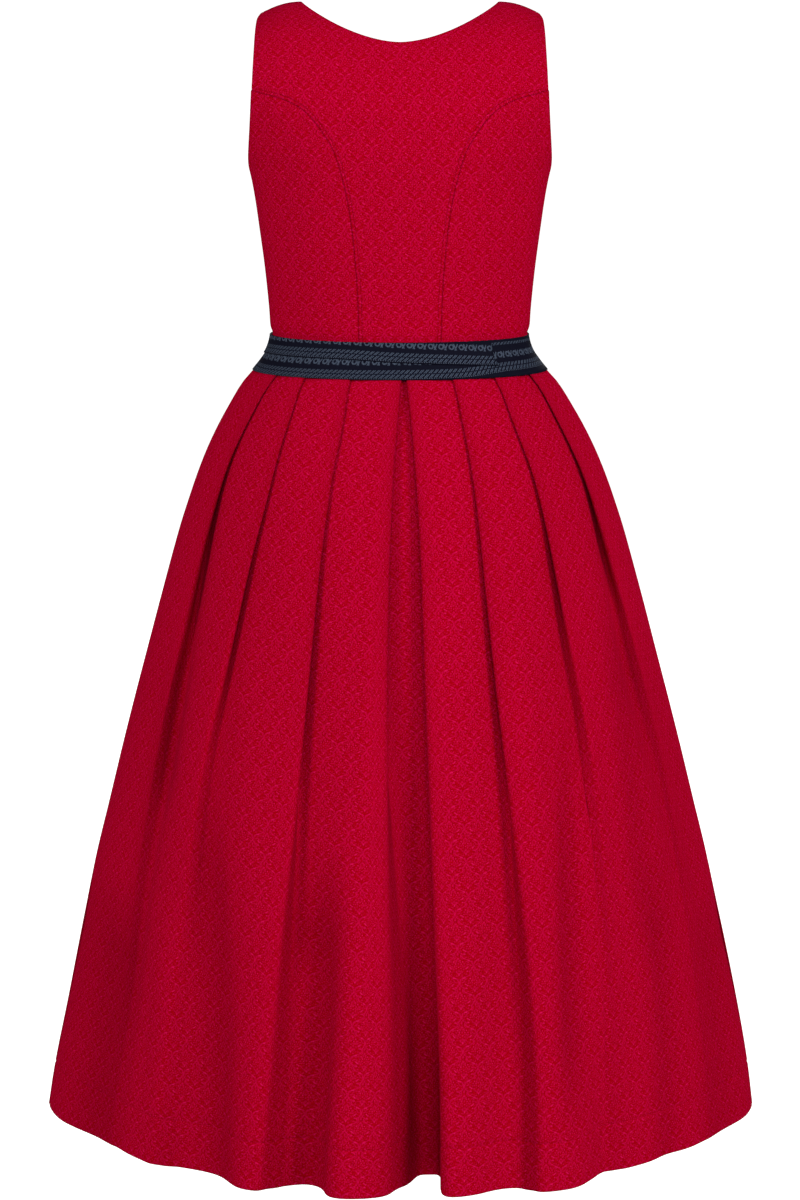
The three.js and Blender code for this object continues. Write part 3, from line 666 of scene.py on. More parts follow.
def figure_group():
    """One figure: takes the place from its crossing point, puts out where it covers the ground."""
    given, result = new_group("damask_figure", "Place", ("Figure", "Bright"))
    outward, up = given.parts()
    outward = abs(outward)
    joined = given.tree.nodes.new("ShaderNodeCombineXYZ")
    outward.to(joined.inputs["X"])
    up.to(joined.inputs["Y"])
    place = Reading(given.tree, joined.outputs[0])
    fields = [arc_field(place, outward, arc) for arc in FIGURE_ARCS]
    fields += [stroke_field(place, stroke) for stroke in FIGURE_STROKES]
    fields += [dot_field(place, dot) for dot in FIGURE_DOTS]
    covered(fields).to(result.inputs["Figure"])
    fields = [stroke_field(place, stroke) for stroke in BRIGHT_STROKES]
    fields += [dot_field(place, dot) for dot in BRIGHT_DOTS]
    covered(fields).to(result.inputs["Bright"])
    return given.tree


def jacquard_group(figure):
    """The whole repeat: two sets of figures, half a repeat apart both ways, and the thread of the cloth."""
    given, result = new_group("jacquard_cloth", "Cloth", ("Figure", "Bright", "Bead", "Thread", "Slub"))
    tree = given.tree
    cloth = given.vector("MULTIPLY", (1 / MM,) * 3)
    woven = cloth.vector("SNAP", (THREAD,) * 3)
    shown = []
    for shift in (0, 0.5):
        half_way = 0.5 + shift
        place = woven.vector("ADD", (REPEAT_WIDE * half_way, REPEAT_TALL * half_way - FIGURE_MIDDLE, 0))
        place = place.vector("DIVIDE", (REPEAT_WIDE, REPEAT_TALL, 1)).vector("FRACTION")
        place = place.vector("MULTIPLY", (REPEAT_WIDE, REPEAT_TALL, 0))
        local = place.vector("SUBTRACT", (REPEAT_WIDE / 2, REPEAT_TALL / 2 - FIGURE_MIDDLE, 0))
        shown.append(tree.nodes.new("ShaderNodeGroup"))
        shown[-1].node_tree = figure
        local.to(shown[-1].inputs["Place"])
    for label in ("Figure", "Bright"):
        first, second = (Reading(tree, placed.outputs[label]) for placed in shown)
        first.by("MAXIMUM", second).to(result.inputs[label])
    bead = tree.nodes.new("ShaderNodeTexWhiteNoise")
    bead.noise_dimensions = "2D"
    place.vector("SNAP", (BEAD,) * 3).to(bead.inputs["Vector"])
    tree.links.new(bead.outputs["Value"], result.inputs["Bead"])
    across, up = cloth.parts()
    weft = (up * (2 * math.pi / THREAD)).by("SINE")
    twill = ((across + up * TWILL_SLANT) * (math.pi / THREAD)).by("SINE")
    (weft * WEFT_HEIGHT + twill * TWILL_HEIGHT + 0.5).to(result.inputs["Thread"])
    drawn = cloth.vector("MULTIPLY", SLUB_STRETCH)
    slub = tree.nodes.new("ShaderNodeTexNoise")
    slub.inputs["Scale"].default_value = 1.0
    slub.inputs["Detail"].default_value = 3.0
    drawn.to(slub.inputs["Vector"])
    tree.links.new(slub.outputs["Fac"], result.inputs["Slub"])
    return tree


def mix_colours(share, first, second, blend="MIX"):
    """Mixes two colours, sockets or plain ones, by a share."""
    made = share.tree.nodes.new("ShaderNodeMix")
    made.data_type = "RGBA"
    made.blend_type = blend
    share.to(made.inputs[0])
    for socket, value in ((made.inputs[6], first), (made.inputs[7], second)):
        if isinstance(value, bpy.types.NodeSocket):
            share.tree.links.new(value, socket)
        else:
            socket.default_value = value
    return made.outputs[2]


def woven_material(name):
    """A material whose colours follow the piece's own cloth map. Returns it, its shader and the map."""
    material = bpy.data.materials.new(name)
    material.use_nodes = True
    drawn = material.node_tree.nodes.new("ShaderNodeUVMap")
    drawn.uv_map = "cloth"
    shader = material.node_tree.nodes["Principled BSDF"]
    return material, shader, Reading(material.node_tree, drawn.outputs["UV"])


def add_relief(shader, height, strength, distance):
    """Small relief of the threads, in millimetres."""
    relief = height.tree.nodes.new("ShaderNodeBump")
    relief.inputs["Strength"].default_value = strength
    relief.inputs["Distance"].default_value = distance * MM
    height.to(relief.inputs["Height"])
    height.tree.links.new(relief.outputs["Normal"], shader.inputs["Normal"])


def jacquard_material(name, cloth_group):
    """The red jacquard: ground, figure, flecks, painted shade in the weave's pits, uneven yarn, and painted
    shade in folds and seams.
    """
    material, shader, drawn = woven_material(name)
    tree = material.node_tree
    weave = tree.nodes.new("ShaderNodeGroup")
    weave.node_tree = cloth_group
    drawn.to(weave.inputs["Cloth"])
    figure, bright, bead, thread, slub = (Reading(tree, socket) for socket in weave.outputs)
    # The fold attribute holds the painted shade of the skirt's folds and creases and of the bodice seams.
    fold = tree.nodes.new("ShaderNodeAttribute")
    fold.attribute_name = "fold"
    colour = mix_colours(figure, GROUND_RED, FIGURE_RED)
    colour = mix_colours(bright, colour, BRIGHT_RED)
    # Painted shade of the weave's pits, as random dark specks.
    colour = mix_colours(((PIT_SHADE[0] - bead) * PIT_SHADE[1]).clamped(), colour, PIT_SHADE_RED)
    colour = mix_colours(((bead - FLECKS[0]) * FLECKS[1]).clamped(), colour, BRIGHT_RED)
    colour = mix_colours(((slub - SLUBS[0]) * SLUBS[1]).clamped(), colour, SLUB_RED, "MULTIPLY")
    colour = mix_colours(Reading(tree, fold.outputs["Fac"]), colour, SHADE_RED, "MULTIPLY")
    tree.links.new(colour, shader.inputs["Base Color"])
    (GROUND_ROUGHNESS - figure * FIGURE_GLOSS).to(shader.inputs["Roughness"])
    shader.inputs["Sheen Weight"].default_value = 0.03
    shader.inputs["Sheen Roughness"].default_value = 0.4
    shader.inputs["Sheen Tint"].default_value = (1, 0.05, 0.2, 1)
    shader.inputs["Specular IOR Level"].default_value = 0.0
    add_relief(shader, thread + figure * FIGURE_HEIGHT, 0.3, 0.1)
    return material


jacquard = jacquard_group(figure_group())
red_bodice = jacquard_material("red_jacquard_bodice", jacquard)


def finish_panel(piece, node):
    """Turns the edges of a bodice panel in, thickens it and hands it over."""
    roll_edges(piece)
    thicken(piece, BODICE_SHELL, 1)
    piece.data.materials.append(red_bodice)
    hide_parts(node)
    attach(piece, "root")


finish_panel(back_centre, "back_centre")


# Back of the bodice, side panels: the same cloth, between shaping seam, armhole and side seam.
# Each is cut on its own grain, so its figure doesn't run on from the middle panel.
SIDE_COLUMNS = 20
TOP_STEPS = 48


def side_panel(name, side, sign, seam, armhole_table, junction, shares, grain):
    """A side panel blended from its four edges. sign is 1 for the side at plus x."""
    seam_path = CutLine(seam)
    lengths = down_the_form(side)

    def side_swing(depth):
        forward = smooth(FORM, depth, 2 if side < 0 else 3)
        return math.asin((SEAM_GAP / 2 / forward) ** (straight(ROUNDNESS, depth, 1) / 2))

    def seam_at(v):
        x, depth = seam_path.at(seam_path.total * v)
        return swing_at(x, depth), depth

    top = [(0, seam_at(0)[0], junction)]
    for i in range(1, TOP_STEPS + 1):
        depth = UNDERARM - (UNDERARM - junction) * (1 - i / TOP_STEPS) ** 2
        swing = max(swing_at(smooth(armhole_table, depth, 1), depth), side_swing(depth))
        step = form_point(side, swing, depth) - form_point(side, *top[-1][1:])
        top.append((top[-1][0] + step.length, swing, depth))

    def top_at(c):
        return straight(top, c * top[-1][0], 1), straight(top, c * top[-1][0], 2)

    def side_at(v):
        depth = UNDERARM + (WAIST_SEAM - UNDERARM) * v
        return side_swing(depth), depth

    def bottom_at(c):
        start = seam_at(1)[0]
        return start + (side_swing(WAIST_SEAM) - start) * c, WAIST_SEAM

    places, cloth, shades = [], [], []
    grain_place = across_the_form(side, 0.5 * (seam_at(1)[0] + side_swing(WAIST_SEAM)), WAIST_SEAM)
    for v in reversed(shares):
        place_row, cloth_row = [], []
        ends = [form_point(side, *seam_at(v)), form_point(side, *side_at(v))]
        wide = (ends[0] - ends[1]).length
        pressed = [(away / wide, rise, shade) for away, rise, shade in reversed(EDGE_PRESS)]
        first = pressed[-1][0]
        between = (1 - 2 * first) / SIDE_COLUMNS
        columns = pressed + [(first + between * k, 0, 0) for k in range(1, SIDE_COLUMNS)]
        forward = smooth(FORM, side_at(v)[1], 2 if side < 0 else 3)
        turn = straight(ROUNDNESS, side_at(v)[1], 1) / 2
        for away, rise, shade in EDGE_PRESS:
            swing = math.asin(((away + SEAM_GAP / 2) / forward) ** turn) - side_at(v)[0]
            low = swing / (seam_at(v)[0] - side_at(v)[0])
            columns.append((1 - (1 - v) * away / wide - v * low, rise, shade))
        shade_row = [shade for c, rise, shade in columns]
        for c, rise, shade in columns:
            swing, depth = (
                (1 - c) * seam_at(v)[i] + c * side_at(v)[i] + (1 - v) * top_at(c)[i] + v * bottom_at(c)[i]
                - (1 - c) * (1 - v) * seam_at(0)[i] - c * (1 - v) * side_at(0)[i]
                - (1 - c) * v * seam_at(1)[i] - c * v * side_at(1)[i]
                for i in (0, 1)
            )
            point = form_point(side, swing, depth) + form_normal(side, swing, depth) * rise
            point.x *= sign
            from_grain = (across_the_form(side, swing, depth) - grain_place) / straight(CLOTH_PULL, depth, 1)
            place_row.append(point)
            cloth_row.append((from_grain * sign * -side, grain - straight(lengths, depth, 1)))
        if sign == side:
            place_row.reverse()
            cloth_row.reverse()
            shade_row.reverse()
        shades.extend(shade_row)
        places.append(place_row)
        cloth.append(cloth_row)
    return lay_grid(name, places, cloth, shades)


for sign, hand in ((-1, "left"), (1, "right")):
    piece = side_panel(
        f"back_side_{hand}_cloth", -1, sign, back_outside, ARMHOLE_BACK, back_junction, back_shares, 9
    )
    finish_panel(piece, f"back_side_{hand}")


# Front of the bodice: a middle panel with a deeper neckline and two side panels.
# The shaping seams give room over the bust; sewn and edged like the back.
NECK_FRONT_DEPTH = 138
NECK_FRONT_POWER = 2.5
# Armhole and shaping seam of the front, with the same columns as at the back.
ARMHOLE_FRONT = [
    (0, 138.6), (3, 140), (15, 138.6), (40, 134), (70, 130.4),
    (96, 130.5), (120, 135), (140, 142), (152, 147), (160, 149.2),
]
SEAM_FRONT = [
    (130.5, 96), (118, 106), (105, 122), (94, 146), (86, 178),
    (78, 212), (67, 252), (58, 292), (53, WAIST_SEAM),
]


def front_neck_points():
    """Points of the front neckline, from the shoulder to the middle."""
    points = []
    for i in range(CURVE_STEPS + 1):
        turn = math.pi / 2 * i / CURVE_STEPS
        x = NECK_HALF * max(0, math.cos(turn)) ** (2 / NECK_FRONT_POWER)
        points.append((x, RIDGE_START + NECK_FRONT_DEPTH * math.sin(turn) ** (2 / NECK_FRONT_POWER)))
    points[-1] = (0, points[-1][1])
    return points


def front_stations(neck, arm, inner_end, outer_end):
    """Bands of rows, with the same columns as at the back."""
    return [
        (neck * 0.55, arm, 34),
        (neck, arm + 70, 30),
        (inner_end - 15, outer_end - 15, 34),
        (inner_end, outer_end, 8),
    ]


front_armhole = armhole_points(ARMHOLE_FRONT, RIDGE_START, SEAM_FRONT[0][1])
front_inside = seam_points(SEAM_FRONT, -SEAM_GAP * SLANT_SHARE)
front_inside[0] = front_armhole[-1]
front_outside = seam_points(SEAM_FRONT, SEAM_GAP * SLANT_SHARE)
front_junction = SEAM_FRONT[0][1] + JUNCTION_GAP
front_outside[0] = (smooth(ARMHOLE_FRONT, front_junction, 1), front_junction)
front_centre, front_shares = middle_panel(
    "front_centre_cloth", 1, front_neck_points(), front_armhole, front_inside, front_stations, 32, 0
)
finish_panel(front_centre, "front_centre")

for sign, hand in ((-1, "left"), (1, "right")):
    piece = side_panel(
        f"front_side_{hand}_cloth", 1, sign, front_outside, ARMHOLE_FRONT, front_junction, front_shares, 9
    )
    finish_panel(piece, f"front_side_{hand}")


# Skirt: two widths of the jacquard, cut straight, laid in deep pleats at the waist and hemmed.
# The pleats turn towards an inverted box pleat in the middle and open out towards the hem.
SKIRT_CLOTH = 1.2
SKIRT_SHELL = 0.9
SKIRT_TOP_Z = -331.5
HEM_Z = -1121.0
HEM_TURN_UP = 45
SKIRT_ROW_COUNT = 84
HEM_ROWS = 7
HEM_LAYER = 1.1
# The turn at the hem, from its lowest line up. Columns: height, share of the layer still inside.
HEM_FOLD = [(0, 0.5), (0.35, 0.12), (1.2, 0), (4, 0)]
# How far the rows crowd towards the hem.
ROW_CROWDING = 0.18
FOLD_SAMPLES = 5
PANEL_SAMPLES = 7

# Outside of the dress under the belt. Columns: height, half width, back, front.
WAIST_CONE = [
    (-325, 127.8, 84.7, 93.4), (-327, 127.5, 84.5, 93.2), (-333, 128.5, 85.1, 93.6),
    (-343, 132, 87.6, 95.6), (-353, 138.6, 91.4, 98.4), (-363, 146.6, 95.5, 101.5), (-366, 149.2, 97.4, 103),
]
BELT_FOOT = WAIST_CONE[5]
# Outline of the skirt from the back. Columns: height, half width.
SKIRT_OUTLINE = [
    (-363, 146.6), (-368, 152), (-373.4, 156.6), (-383.5, 163.7), (-393.6, 169.7),
    (-418.8, 183.9), (-444, 196.1), (-469.4, 206.3), (-494.7, 215.1), (-520, 223.3),
    (-545.6, 230.6), (-596.6, 244.6), (-647.8, 258.2), (-699.2, 271.8), (-750.8, 285),
    (-802.6, 297.7), (-854.6, 310.6), (-906.8, 321.8), (-959, 332.8), (-1011.7, 343.5),
    (-1064.4, 353.9), (-1090.9, 358.3), (-1121, 362.4),
]
# The skirt hangs a little to one side. Columns: height, shift.
SKIRT_LEAN = [(-363, 0), (-400, 0.6), (-500, 1.5), (-850, 1.5), (-1000, 2.4), (-1121, 0.6)]
SKIRT_BACK_RATE = 1.1
SKIRT_FRONT_RATE = 0.93

# Folds of one skirt half, with a value for each of these heights.
FOLD_LEVELS = [-350, -400, -460, -540, -640, -780, -940, -1121]
# edge: angle of the fold edge from the middle. under: how far the cloth runs back behind it.
# deep: how far in it lies. crest: how far in the edge lies at the hem. rise: the panel beside it.
FOLDS = [
    {"faces": 1, "crest": 23, "rise": (0.3, 0.6, 0.65, 0.1),
     "edge": (-57, -59, -61, -61.5, -61.5, -62.5, -62.5, -63),
     "under": (18, 19, 18, 12, 2, -10, -20, -28), "deep": (6.8, 7, 10, 17, 20, 22, 23, 28)},
    {"faces": 1, "crest": 24, "rise": (0.35, 0.95, 0.72, 0.15),
     "edge": (-40.5, -39.2, -39.4, -41, -43, -45.2, -45.6, -46.6),
     "under": (20, 20, 20, 15, 5, -12, -26, -34), "deep": (6.2, 6.6, 8.5, 12, 16, 17, 22, 33)},
    {"faces": 1, "crest": -3, "rise": (0.3, 0.95, 0.48, -0.35),
     "edge": (-19.8, -19, -20, -20.6, -20.8, -21, -22, -22.5),
     "under": (20, 20, 20, 18, 12, 2, -10, -20), "deep": (6.2, 6.6, 8.5, 12, 16, 20, 26, 28)},
    {"faces": 1, "crest": 0, "rise": (0.5, 1, 0.5, 1),
     "edge": (0.9, -1, -2.4, -3, -3.2, -2.8, -2.4, -2.5),
     "under": (18, 18, 18, 16, 10, -4, -20, -37), "deep": (6.2, 6.6, 8.5, 12, 16, 22, 36, 78)},
    {"faces": -1, "crest": 0, "rise": (0.25, 1.1, 0.65, 0.45),
     "edge": (2.2, 3.4, 4.2, 4.8, 5.1, 5.6, 6.1, 6.6),
     "under": (18, 18, 18, 16, 12, 9, 7, 6), "deep": (6.2, 6.6, 8.5, 12, 16, 25, 40, 78)},
    {"faces": -1, "crest": -5, "rise": (0.25, 1.1, 0.65, 0.45),
     "edge": (21, 20.5, 20.6, 20.6, 21, 22, 22.5, 21.8),
     "under": (20, 20, 20, 18, 12, 2, -8, -16), "deep": (6.2, 6.6, 8.5, 12, 15, 18, 21, 18)},
    {"faces": -1, "crest": 25, "rise": (0.3, 0.5, 0.6, 0),
     "edge": (40, 39.4, 40.8, 41.4, 42.2, 43.2, 42, 41),
     "under": (20, 20, 20, 13, 0, -14, -24, -30), "deep": (6.2, 6.6, 8.5, 14, 17, 16, 21, 30)},
    {"faces": -1, "crest": 18, "rise": (0.35, 0.3, 0.7, -0.3),
     "edge": (62.5, 62.3, 64, 65.7, 68, 71, 70.5, 68),
     "under": (18, 19, 17, 8, -6, -16, -22, -24), "deep": (6.8, 7, 9, 15, 16, 14, 17, 23)},
]
HIGH_RISE = (0.3, 0.55, 0.68, 0.1)
RISE_FADE = (-640, -1121)
TURN_SHARES = (0.42, 0.58)
# Shade in a fold: full while its cloth runs back behind the edge, less where it has opened out.
CLOSED_BY = (6, 22)
OPEN_SHADE = 0.52
OPEN_DEPTH = 22
# Soft creases. Columns: x and height of the upper end, of the lower end, half width, rise.
BACK_CREASES = [
    (-92, -880, -112, -1135, 13, 5), (-76, -800, -93, -1150, 19, -9), (162, -680, 166, -1090, 13, -7),
    (172, -690, 206, -1080, 13, 8), (210, -560, 252, -960, 16, -4), (226, -600, 312, -960, 14, -3),
    (-214, -620, -240, -800, 9, -4), (-226, -600, -288, -1060, 13, -4), (120, -600, 134, -900, 20, 3),
    (-186, -740, -178, -1150, 17, -7), (-150, -560, -160, -900, 20, 3), (64, -820, 66, -1130, 22, 4),
    (-30, -560, -34, -800, 18, 2), (256, -820, 268, -1150, 15, -5), (-228, -860, -236, -1150, 16, 6),
    (-284, -860, -316, -1150, 28, -8), (306, -880, 330, -1150, 20, -5),
]
FRONT_CREASES = [
    (60, -760, 88, -1150, 18, 7), (-108, -640, -150, -1100, 15, -6), (-196, -600, -250, -1000, 15, 5),
    (130, -700, 150, -1060, 16, -7), (214, -560, 270, -980, 15, -4), (20, -560, 26, -860, 18, 3),
    (-56, -840, -60, -1150, 20, 6), (180, -800, 204, -1150, 14, 6), (-20, -900, -32, -1150, 16, -5),
]
# A trough this deep lies in full shade.
CREASE_SHADE = 22
# The hem stitching draws the cloth in a little. Columns: height above the hem, how far in.
HEM_STITCH = [(42.6, 0), (44.2, 0.35), (45, 0.7), (45.8, 0.35), (47.4, 0)]
SIDE_SEAM_SINK = 0.7
# The cloth was cut a little off its weft: rise of the woven rows for each length across.
ROWS_SLOPE = 0.045
# Least share of its length that the cloth inside a fold keeps in the cloth map.
LEAST_HIDDEN = 0.2
# Between side seam and first fold. Columns: share of the way, share of the crest's depth.
SIDE_STEPS = ((0.3, 0.15), (0.7, 0.7))
# Shade at the four corners of a fold, from its edge to its floor.
FOLD_SHADES = (0.1, 1, 1, 0.3)
LEAST_DROP = 4
BOX_DROP = 0.4
CREASE_ENDS = 4


def skirt_size(z):
    """Outside of the skirt at a height: half width, back and front depth."""
    if z > BELT_FOOT[0]:
        return [smooth(WAIST_CONE, z, column) for column in (1, 2, 3)]
    half = smooth(SKIRT_OUTLINE, z, 1)
    more = half - BELT_FOOT[1]
    return [half, BELT_FOOT[2] + more * SKIRT_BACK_RATE, BELT_FOOT[3] + more * SKIRT_FRONT_RATE]


def fold_corners(z, depth_column):
    """Corner points of one ring of the skirt before rounding: x, y, samples and whether it is a fold."""
    size = skirt_size(z)
    wide, far = size[0] - SKIRT_CLOTH / 2, size[depth_column] - SKIRT_CLOTH / 2
    fade = min(1, max(0, (z - RISE_FADE[0]) / (RISE_FADE[1] - RISE_FADE[0])))
    low = fade * fade * (3 - 2 * fade)
    corners = []

    def put(angle, deep, is_fold, shade=0):
        out_x, out_y = far * math.sin(angle), -wide * math.cos(angle)
        length = math.hypot(out_x, out_y)
        corners.append((
            wide * math.sin(angle) - deep * out_x / length,
            -far * math.cos(angle) - deep * out_y / length,
            is_fold, shade,
        ))

    def value(column):
        return smooth(list(zip(FOLD_LEVELS, column)), z, 1)

    folds = []
    for fold in FOLDS:
        edge = math.radians(value(fold["edge"]))
        under = value(fold["under"]) * fold["faces"] / math.hypot(wide * math.cos(edge), far * math.sin(edge))
        opened = min(0, under * fold["faces"]) * fold["faces"]
        crest = fold["crest"] * low
        deep = max(value(fold["deep"]), crest + LEAST_DROP)
        folds.append({
            "faces": fold["faces"], "edge": edge, "crest": crest, "deep": deep,
            "edge_in": edge - opened / 3, "back": edge - under + opened / 3, "floor": edge - under,
            "rise": [high + (share - high) * low for share, high in zip(fold["rise"], HIGH_RISE)],
            "shade": min(1, max(
                (value(fold["under"]) + CLOSED_BY[0]) / CLOSED_BY[1],
                OPEN_SHADE * min(1, (deep - crest) / OPEN_DEPTH),
            )),
        })
    side = math.pi / 2
    first, last = folds[0], folds[-1]
    put(-side, 0, False)
    for way, share in SIDE_STEPS:
        put(-side + (first["edge"] + side) * way, first["crest"] * share, False)
    for fold, following in zip(folds, folds[1:] + [None]):
        drop = fold["deep"] - fold["crest"]
        angles = [fold["edge"], fold["edge_in"], fold["back"], fold["floor"]]
        depths = [fold["crest"] + share * drop for share in (0, *TURN_SHARES, 1)]
        for angle, deep, shade in list(zip(angles, depths, FOLD_SHADES))[:: fold["faces"]]:
            put(angle, deep, True, shade * fold["shade"])
        if following is None:
            continue
        if fold["faces"] > 0 > following["faces"]:
            box_floor = max(fold["deep"], following["deep"]) + BOX_DROP
            put((fold["floor"] + following["floor"]) / 2, box_floor, False)
            continue
        lower, upper = (fold, following) if fold["faces"] > 0 else (following, fold)
        rise = lower["rise"]
        panel = [(rise[0], rise[1]), (rise[2], rise[3])]
        if fold["faces"] < 0:
            panel.reverse()
        for way, share in panel:
            put(
                lower["floor"] + (upper["edge"] - lower["floor"]) * way,
                upper["crest"] + (lower["deep"] - upper["crest"]) * share,
                False,
            )
    for way, share in reversed(SIDE_STEPS):
        put(side - (side - last["edge"]) * way, last["crest"] * share, False)
    put(side, 0, False)
    return corners


def rounded_ring(corners):
    """Rounds the corners with a quadratic curve. Returns x, y, whether it is a fold, and its shade."""
    ring = [(corners[0][0], corners[0][1], False, 0)]
    for i in range(1, len(corners) - 1):
        a, b, c = corners[i - 1], corners[i], corners[i + 1]
        start = a[:2] if i == 1 else ((a[0] + b[0]) / 2, (a[1] + b[1]) / 2)
        end = c[:2] if i == len(corners) - 2 else ((b[0] + c[0]) / 2, (b[1] + c[1]) / 2)
        start_shade, end_shade = (a[3] + b[3]) / 2, (b[3] + c[3]) / 2
        samples = FOLD_SAMPLES if b[2] else PANEL_SAMPLES
        for k in range(1, samples + 1):
            t = k / samples
            ring.append((
                (1 - t) ** 2 * start[0] + 2 * t * (1 - t) * b[0] + t * t * end[0],
                (1 - t) ** 2 * start[1] + 2 * t * (1 - t) * b[1] + t * t * end[1],
                b[2],
                (1 - t) ** 2 * start_shade + 2 * t * (1 - t) * b[3] + t * t * end_shade,
            ))
    return ring


def panel_middles(ring):
    """Ring numbers of the side seams and of the middle of each panel between folds."""
    middles = [0]
    run = []
    for number, point in enumerate(ring):
        if point[2]:
            if run and run[0] > 0:
                middles.append(run[len(run) // 2])
            run = []
        else:
            run.append(number)
    if middles[1] < 3 * PANEL_SAMPLES:
        middles.pop(1)
    middles.append(len(ring) - 1)
    return middles


def ring_steps(ring):
    """Lengths between neighbouring points of a ring."""
    return [math.hypot(b[0] - a[0], b[1] - a[1]) for a, b in zip(ring, ring[1:])]


def crease_rise(creases, x, z):
    """How far the soft creases lift the cloth at a place."""
    rise = 0
    for top_x, top_z, low_x, low_z, half, high in creases:
        if low_z < z < top_z:
            way = (z - top_z) / (low_z - top_z)
            across = (x - top_x - (low_x - top_x) * way) / half
            fades = min(1, CREASE_ENDS * way)
            fades *= min(1, CREASE_ENDS * (1 - way) + (1 if low_z < HEM_Z else 0))
            rise += high * fades * math.exp(-across * across)
    return rise


def skirt_half(name, depth_column, turned, creases):
    """One width of the skirt, from the turned-up hem inside, round the hem and up to the waist."""
    start = HEM_Z + HEM_FOLD[-1][0]
    heights = [start + (HEM_Z + HEM_TURN_UP - start) * (1 - i / HEM_ROWS) for i in range(HEM_ROWS)]
    inward = [HEM_LAYER] * HEM_ROWS
    for rise, share in reversed(HEM_FOLD):
        heights.append(HEM_Z + rise)
        inward.append(HEM_LAYER * (1 - share))
    for rise, share in HEM_FOLD[1:]:
        heights.append(HEM_Z + rise)
        inward.append(HEM_LAYER * share)
    inside = HEM_ROWS + len(HEM_FOLD)
    for i in range(1, SKIRT_ROW_COUNT + 1):
        t = i / SKIRT_ROW_COUNT
        t += ROW_CROWDING * (t ** 0.5 - t)
        heights.append(start + (SKIRT_TOP_Z - start) * t)
        inward.append(0)
    for rise, sink in HEM_STITCH:
        after = next(i for i in range(inside, len(heights)) if heights[i] > HEM_Z + rise)
        heights.insert(after, HEM_Z + rise)
        inward.insert(after, sink)
    rings = {z: rounded_ring(fold_corners(z, depth_column)) for z in set(heights)}
    hem_ring = rings[HEM_Z]
    middles = panel_middles(hem_ring)
    hem_steps = ring_steps(hem_ring)
    hem_total = sum(hem_steps)
    drop, last = {}, None
    for z in sorted(rings, reverse=True):
        size = skirt_size(z)
        radius = (size[0] + size[depth_column]) / 2
        drop[z] = 0 if last is None else drop[last[0]] + math.hypot(last[0] - z, radius - last[1])
        last = (z, radius)
    places, cloth, shades = [], [], []
    for number, z in enumerate(heights):
        ring = rings[z]
        # Painted shade of each point: its fold's, and more in the troughs of the soft creases.
        for point in ring:
            trough = max(0, -crease_rise(creases, point[0], z))
            shades.append(min(1, point[3] + trough / CREASE_SHADE))
        lean = smooth(SKIRT_LEAN, z, 1)
        steps = ring_steps(ring)
        across = [-hem_total / 2]
        for start, end in zip(middles, middles[1:]):
            wanted = sum(hem_steps[start:end])
            flat = sum(step for k, step in enumerate(steps[start:end], start) if not ring[k + 1][2])
            folded = sum(step for k, step in enumerate(steps[start:end], start) if ring[k + 1][2])
            hidden = max(LEAST_HIDDEN, (wanted - flat) / folded) if folded else 1
            used = flat + folded * hidden
            for k in range(start, end):
                grow = hidden if ring[k + 1][2] else 1
                across.append(across[-1] + steps[k] * grow * wanted / used)
        place_row = []
        for k, point in enumerate(ring):
            x, y = point[0], point[1]
            ends = k in (0, len(ring) - 1)
            if ends:
                y = -SEAM_GAP / 2
            push = inward[number] - crease_rise(creases, x, z) * (1 - point[3])
            push += SIDE_SEAM_SINK if ends else 0
            before, after = ring[max(0, k - 1)], ring[min(len(ring) - 1, k + 1)]
            reach = math.hypot(after[0] - before[0], after[1] - before[1])
            x -= push * (after[1] - before[1]) / reach
            y += push * (after[0] - before[0]) / reach
            place_row.append(((x * turned) + lean, y * turned, z))
        places.append(place_row)
        turned_up = drop[HEM_Z] * 2 - drop[z] if number < inside else drop[z]
        cloth.append([(u, u * ROWS_SLOPE - turned_up) for u in across])
    return lay_grid(name, places, cloth, shades)


red_skirt = jacquard_material("red_jacquard_skirt", jacquard)
for name, node, depth_column, turned, creases, flat in (
    ("skirt_back_cloth", "skirt_back", 1, 1, BACK_CREASES, (1.24, 0.88)),
    ("skirt_front_cloth", "skirt_front", 2, -1, FRONT_CREASES, (1.19, 0.87)),
):
    piece = skirt_half(name, depth_column, turned, creases)
    thicken(piece, SKIRT_SHELL, 0)
    piece.data.materials.append(red_skirt)
    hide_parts(node)
    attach(piece, "root")


# Belt: one navy ribbon, wound nearly twice round the waist and overlapping itself at the back.
# Ropes and a scroll are woven into it in slate blue; its lower edge has fine pale loops.
RIBBON_START = 43.9
RIBBON_TURNS = 1.75
RIBBON_COLUMNS = 420
RIBBON_ROWS = 14
RIBBON_SHELL = 0.7
# From the visible end round and in. Columns: turns, off the cloth, top, bottom, turned under.
RIBBON_PATH = [
    (0, 2.4, -329.6, -352.4, 5.6), (0.06, 2.4, -328.4, -349.5, 5.6), (0.13, 2.4, -327, -346.6, 5.6),
    (0.2, 2.4, -326.6, -344.2, 5.6), (0.34, 2.4, -326.6, -345.4, 5.6), (0.45, 2.4, -326.6, -354, 4),
    (0.55, 2.4, -326.6, -363, 0), (0.77, 2.4, -326.6, -363, 0), (0.87, 1.1, -326.6, -363, 0),
    (0.98, 1.1, -326.6, -363, 0.5), (1.06, 1.1, -326.6, -363, 5), (1.3, 1.1, -326.6, -363, 6.6),
    (1.5, 1.1, -326.6, -363, 4), (2, 1.1, -326.6, -363, 0),
]
NAVY = (0.0035, 0.0038, 0.0115, 1)
SLATE = (0.024, 0.034, 0.06, 1)
PALE_SLATE = (0.13, 0.165, 0.23, 1)
# Woven ropes from the lower edge up. Columns: middle, half height.
ROPE_ROWS = [(9.4, 1.9), (13.8, 1.9), (35.8, 1.6)]
ROPE_PITCH = 5.0
ROPE_SLANT, ROPE_CURL = 0.5, 0.9
ROW_EDGE = 3
